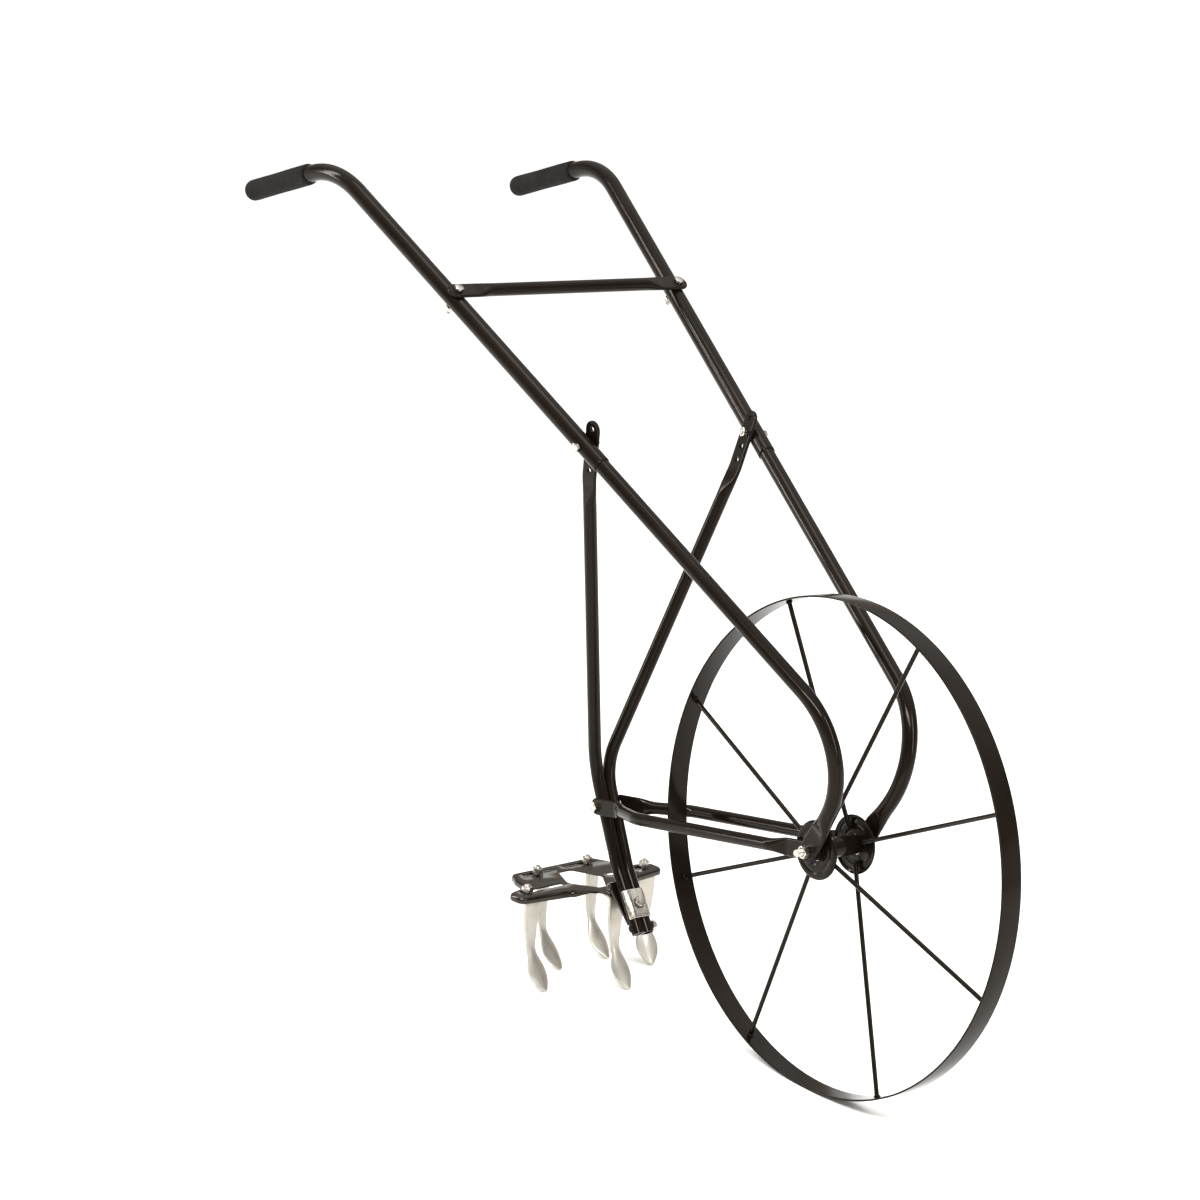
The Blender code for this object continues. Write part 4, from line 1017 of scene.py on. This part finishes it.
# A tine from its tab to its tip: ahead, height, half width and depth of the blade's crease.
TINE_PATH = (
    (-0.009, -0.0025, 0.005, 0.0), (-0.0079, -0.0025, 0.0074, 0.0), (-0.0056, -0.0025, 0.0093, 0.0),
    (0.0, -0.0025, 0.011, 0.0), (0.005, -0.0025, 0.0118, 0.0), (0.0078, -0.0032, 0.012, 0.0),
    (0.0095, -0.0052, 0.0122, 0.0), (0.0104, -0.0085, 0.0122, 0.0), (0.0107, -0.015, 0.0122, 0.0),
    (0.0112, -0.03, 0.0116, 0.0), (0.0119, -0.04, 0.0107, 0.0002), (0.0128, -0.05, 0.0096, 0.0004),
    (0.014, -0.06, 0.0082, 0.0007), (0.0156, -0.068, 0.0073, 0.001), (0.0172, -0.073, 0.0077, 0.0014),
    (0.0192, -0.078, 0.0091, 0.0018), (0.0214, -0.0825, 0.0112, 0.0021), (0.0238, -0.087, 0.0132, 0.0024),
    (0.0265, -0.0915, 0.0148, 0.0026), (0.0295, -0.096, 0.0156, 0.0026), (0.0338, -0.101, 0.0151, 0.0025),
    (0.0385, -0.106, 0.013, 0.0022), (0.0427, -0.1104, 0.0098, 0.0016), (0.0463, -0.1142, 0.0062, 0.001),
    (0.0489, -0.117, 0.0026, 0.0005),
)


def tine(number, x, y, turn):
    """A forged tine: flat tab, tapering shank, and a creased shovel blade with worn thin edges."""
    under = PLATE_TOP - PLATE_WALL - GAP
    pivot = turned_head(Vector((x, y, under)))
    rotation = Matrix.Rotation(math.radians(turn + TOOL_TURN), 3, "Z")
    middle = [Vector((ahead, 0, height)) for ahead, height, _, _ in TINE_PATH]
    rings = []
    for centre, run, (_, _, wide, crease) in zip(middle, directions(middle), TINE_PATH):
        front = run.cross(ACROSS)
        blade = min(crease / 0.0024, 1.0)
        half = TINE_THICKNESS / 2 * (1 - 0.42 * blade)
        power = 0.34 + 0.10 * blade    # below 1 the section is a box with round corners
        ring = []
        for c, s in circle(1, 40):
            u = math.copysign(abs(c) ** power, c)
            v = math.copysign(abs(s) ** power, s)
            rib = crease * (1 - abs(v)) ** 0.8
            thin = half * (1 - 0.45 * blade * abs(v) ** 2)
            ring.append(pivot + rotation @ (centre + front * (u * thin + rib * 1.2) + ACROSS * v * wide))
        rings.append(ring)
    piece(f"tine_{number}_forging", capped(rings), SILVER, f"tine_{number}", [f"tine_{number}"], 50)
    holder = "frame" if number == "3" else f"tine_fixing_{number}"
    lower = pivot - UP * (TINE_THICKNESS + GAP)
    top = Vector((pivot.x, pivot.y, PLATE_TOP + GAP))
    head = [(0.0010, -0.0040), (0.0038, -0.0036), (0.0056, -0.0027), (0.0067, -0.0014), (0.0070, 0.0)]
    bm = domed_head(head, lower, UP)
    across_flats, head_height, radius, height = MIDDLE
    add_shaft(bm, radius, lower, UP, 0.0005, 0.0100, (top - lower).length + 0.0095)
    piece(f"tine_bolt_{number}_detail", bm, ZINC, holder, [f"tine_bolt_{number}"])
    washer(f"tine_washer_{number}", 0.0080, 0.0042, WASHER, top, UP, holder)
    size = (across_flats, head_height, radius, height - WASHER)
    nut(f"tine_nut_{number}", size, top + UP * WASHER, UP, holder, turn=RANDOM.uniform(0, 1))


# ---- stage, light and camera -------------------------------------------------
def stage():
    """A plain pale floor."""
    mesh = bpy.data.meshes.new("floor")
    bm = bmesh.new()
    bmesh.ops.create_grid(bm, x_segments=1, y_segments=1, size=60)
    bm.to_mesh(mesh)
    bm.free()
    floor = bpy.data.objects.new("floor", mesh)
    paint = bpy.data.materials.new("pale_floor")
    paint.use_nodes = True
    shader = paint.node_tree.nodes["Principled BSDF"]
    shader.inputs["Base Color"].default_value = (0.94, 0.935, 0.92, 1)
    shader.inputs["Roughness"].default_value = 0.9
    shader.inputs["Specular IOR Level"].default_value = 0.1
    mesh.materials.append(paint)
    bpy.context.scene.collection.objects.link(floor)


def area_light(name, place, target, size, power):
    data = bpy.data.lights.new(name, "AREA")
    data.shape = "RECTANGLE"
    data.size, data.size_y = size
    data.energy = power
    light = bpy.data.objects.new(name, data)
    light.location = place
    light.rotation_euler = (Vector(target) - Vector(place)).to_track_quat("-Z", "Y").to_euler()
    bpy.context.scene.collection.objects.link(light)


# The studio's glow from the horizon (0) to straight above (1).
SKY = ((0.0, (0.48, 0.475, 0.465)), (0.13, (0.46, 0.450, 0.435)), (0.20, (0.19, 0.150, 0.114)),
       (0.42, (0.22, 0.205, 0.190)), (0.75, (0.62, 0.615, 0.61)), (1.0, (0.80, 0.80, 0.80)))
SKY_STRENGTH = 2.15


def lights():
    """A graded dome, a soft light above and three strips for highlights along the tubes."""
    world = bpy.data.worlds.new("studio")
    bpy.context.scene.world = world
    world.use_nodes = True
    tree = world.node_tree
    place = tree.nodes.new("ShaderNodeTexCoord")
    parts = tree.nodes.new("ShaderNodeSeparateXYZ")
    tree.links.new(place.outputs["Generated"], parts.inputs["Vector"])
    sky = tree.nodes.new("ShaderNodeValToRGB")
    tree.links.new(parts.outputs["Z"], sky.inputs["Fac"])
    while len(sky.color_ramp.elements) < len(SKY):
        sky.color_ramp.elements.new(0.5)
    for element, (height, glow) in zip(sky.color_ramp.elements, SKY):
        element.position = height
        element.color = (*glow, 1)
    background = tree.nodes["Background"]
    tree.links.new(sky.outputs["Color"], background.inputs["Color"])
    background.inputs["Strength"].default_value = SKY_STRENGTH
    area_light("overhead", (-0.2, -0.4, 3.4), (0, 0, 0.3), (1.2, 1.2), 22)
    area_light("strip_left", (-2.6, -2.4, 1.9), (0, 0, 0.4), (0.42, 3.0), 95)
    area_light("strip_front", (3.4, 0.6, 1.9), (0, 0, 0.4), (0.42, 2.6), 75)
    area_light("strip_high", (1.5, -2.0, 2.5), (-0.1, 0, 0.2), (2.4, 0.42), 105)


def camera():
    data = bpy.data.cameras.new("camera")
    data.sensor_width = 36
    data.lens = 115.7
    made = bpy.data.objects.new("camera", data)
    right = Vector((0.60520, 0.79100, 0.08969))
    up = Vector((-0.24535, 0.07815, 0.96628))
    ahead = Vector((-0.75732, 0.60680, -0.24136))
    turn = Matrix((right, up, -ahead)).transposed().to_4x4()
    made.matrix_world = Matrix.Translation(AXLE + Vector((3.2656, -3.0130, 1.3802))) @ turn
    bpy.context.scene.collection.objects.link(made)
    bpy.context.scene.camera = made


wheel()
axle()
handles()
crossbar()
braces()
stays()
clamp()
shank()
plate()
for tine_number, (tine_x, tine_y, tine_turn) in TINES.items():
    tine(tine_number, tine_x, tine_y, tine_turn)
stage()
lights()
camera()
bpy.context.scene.view_settings.view_transform = "Standard"
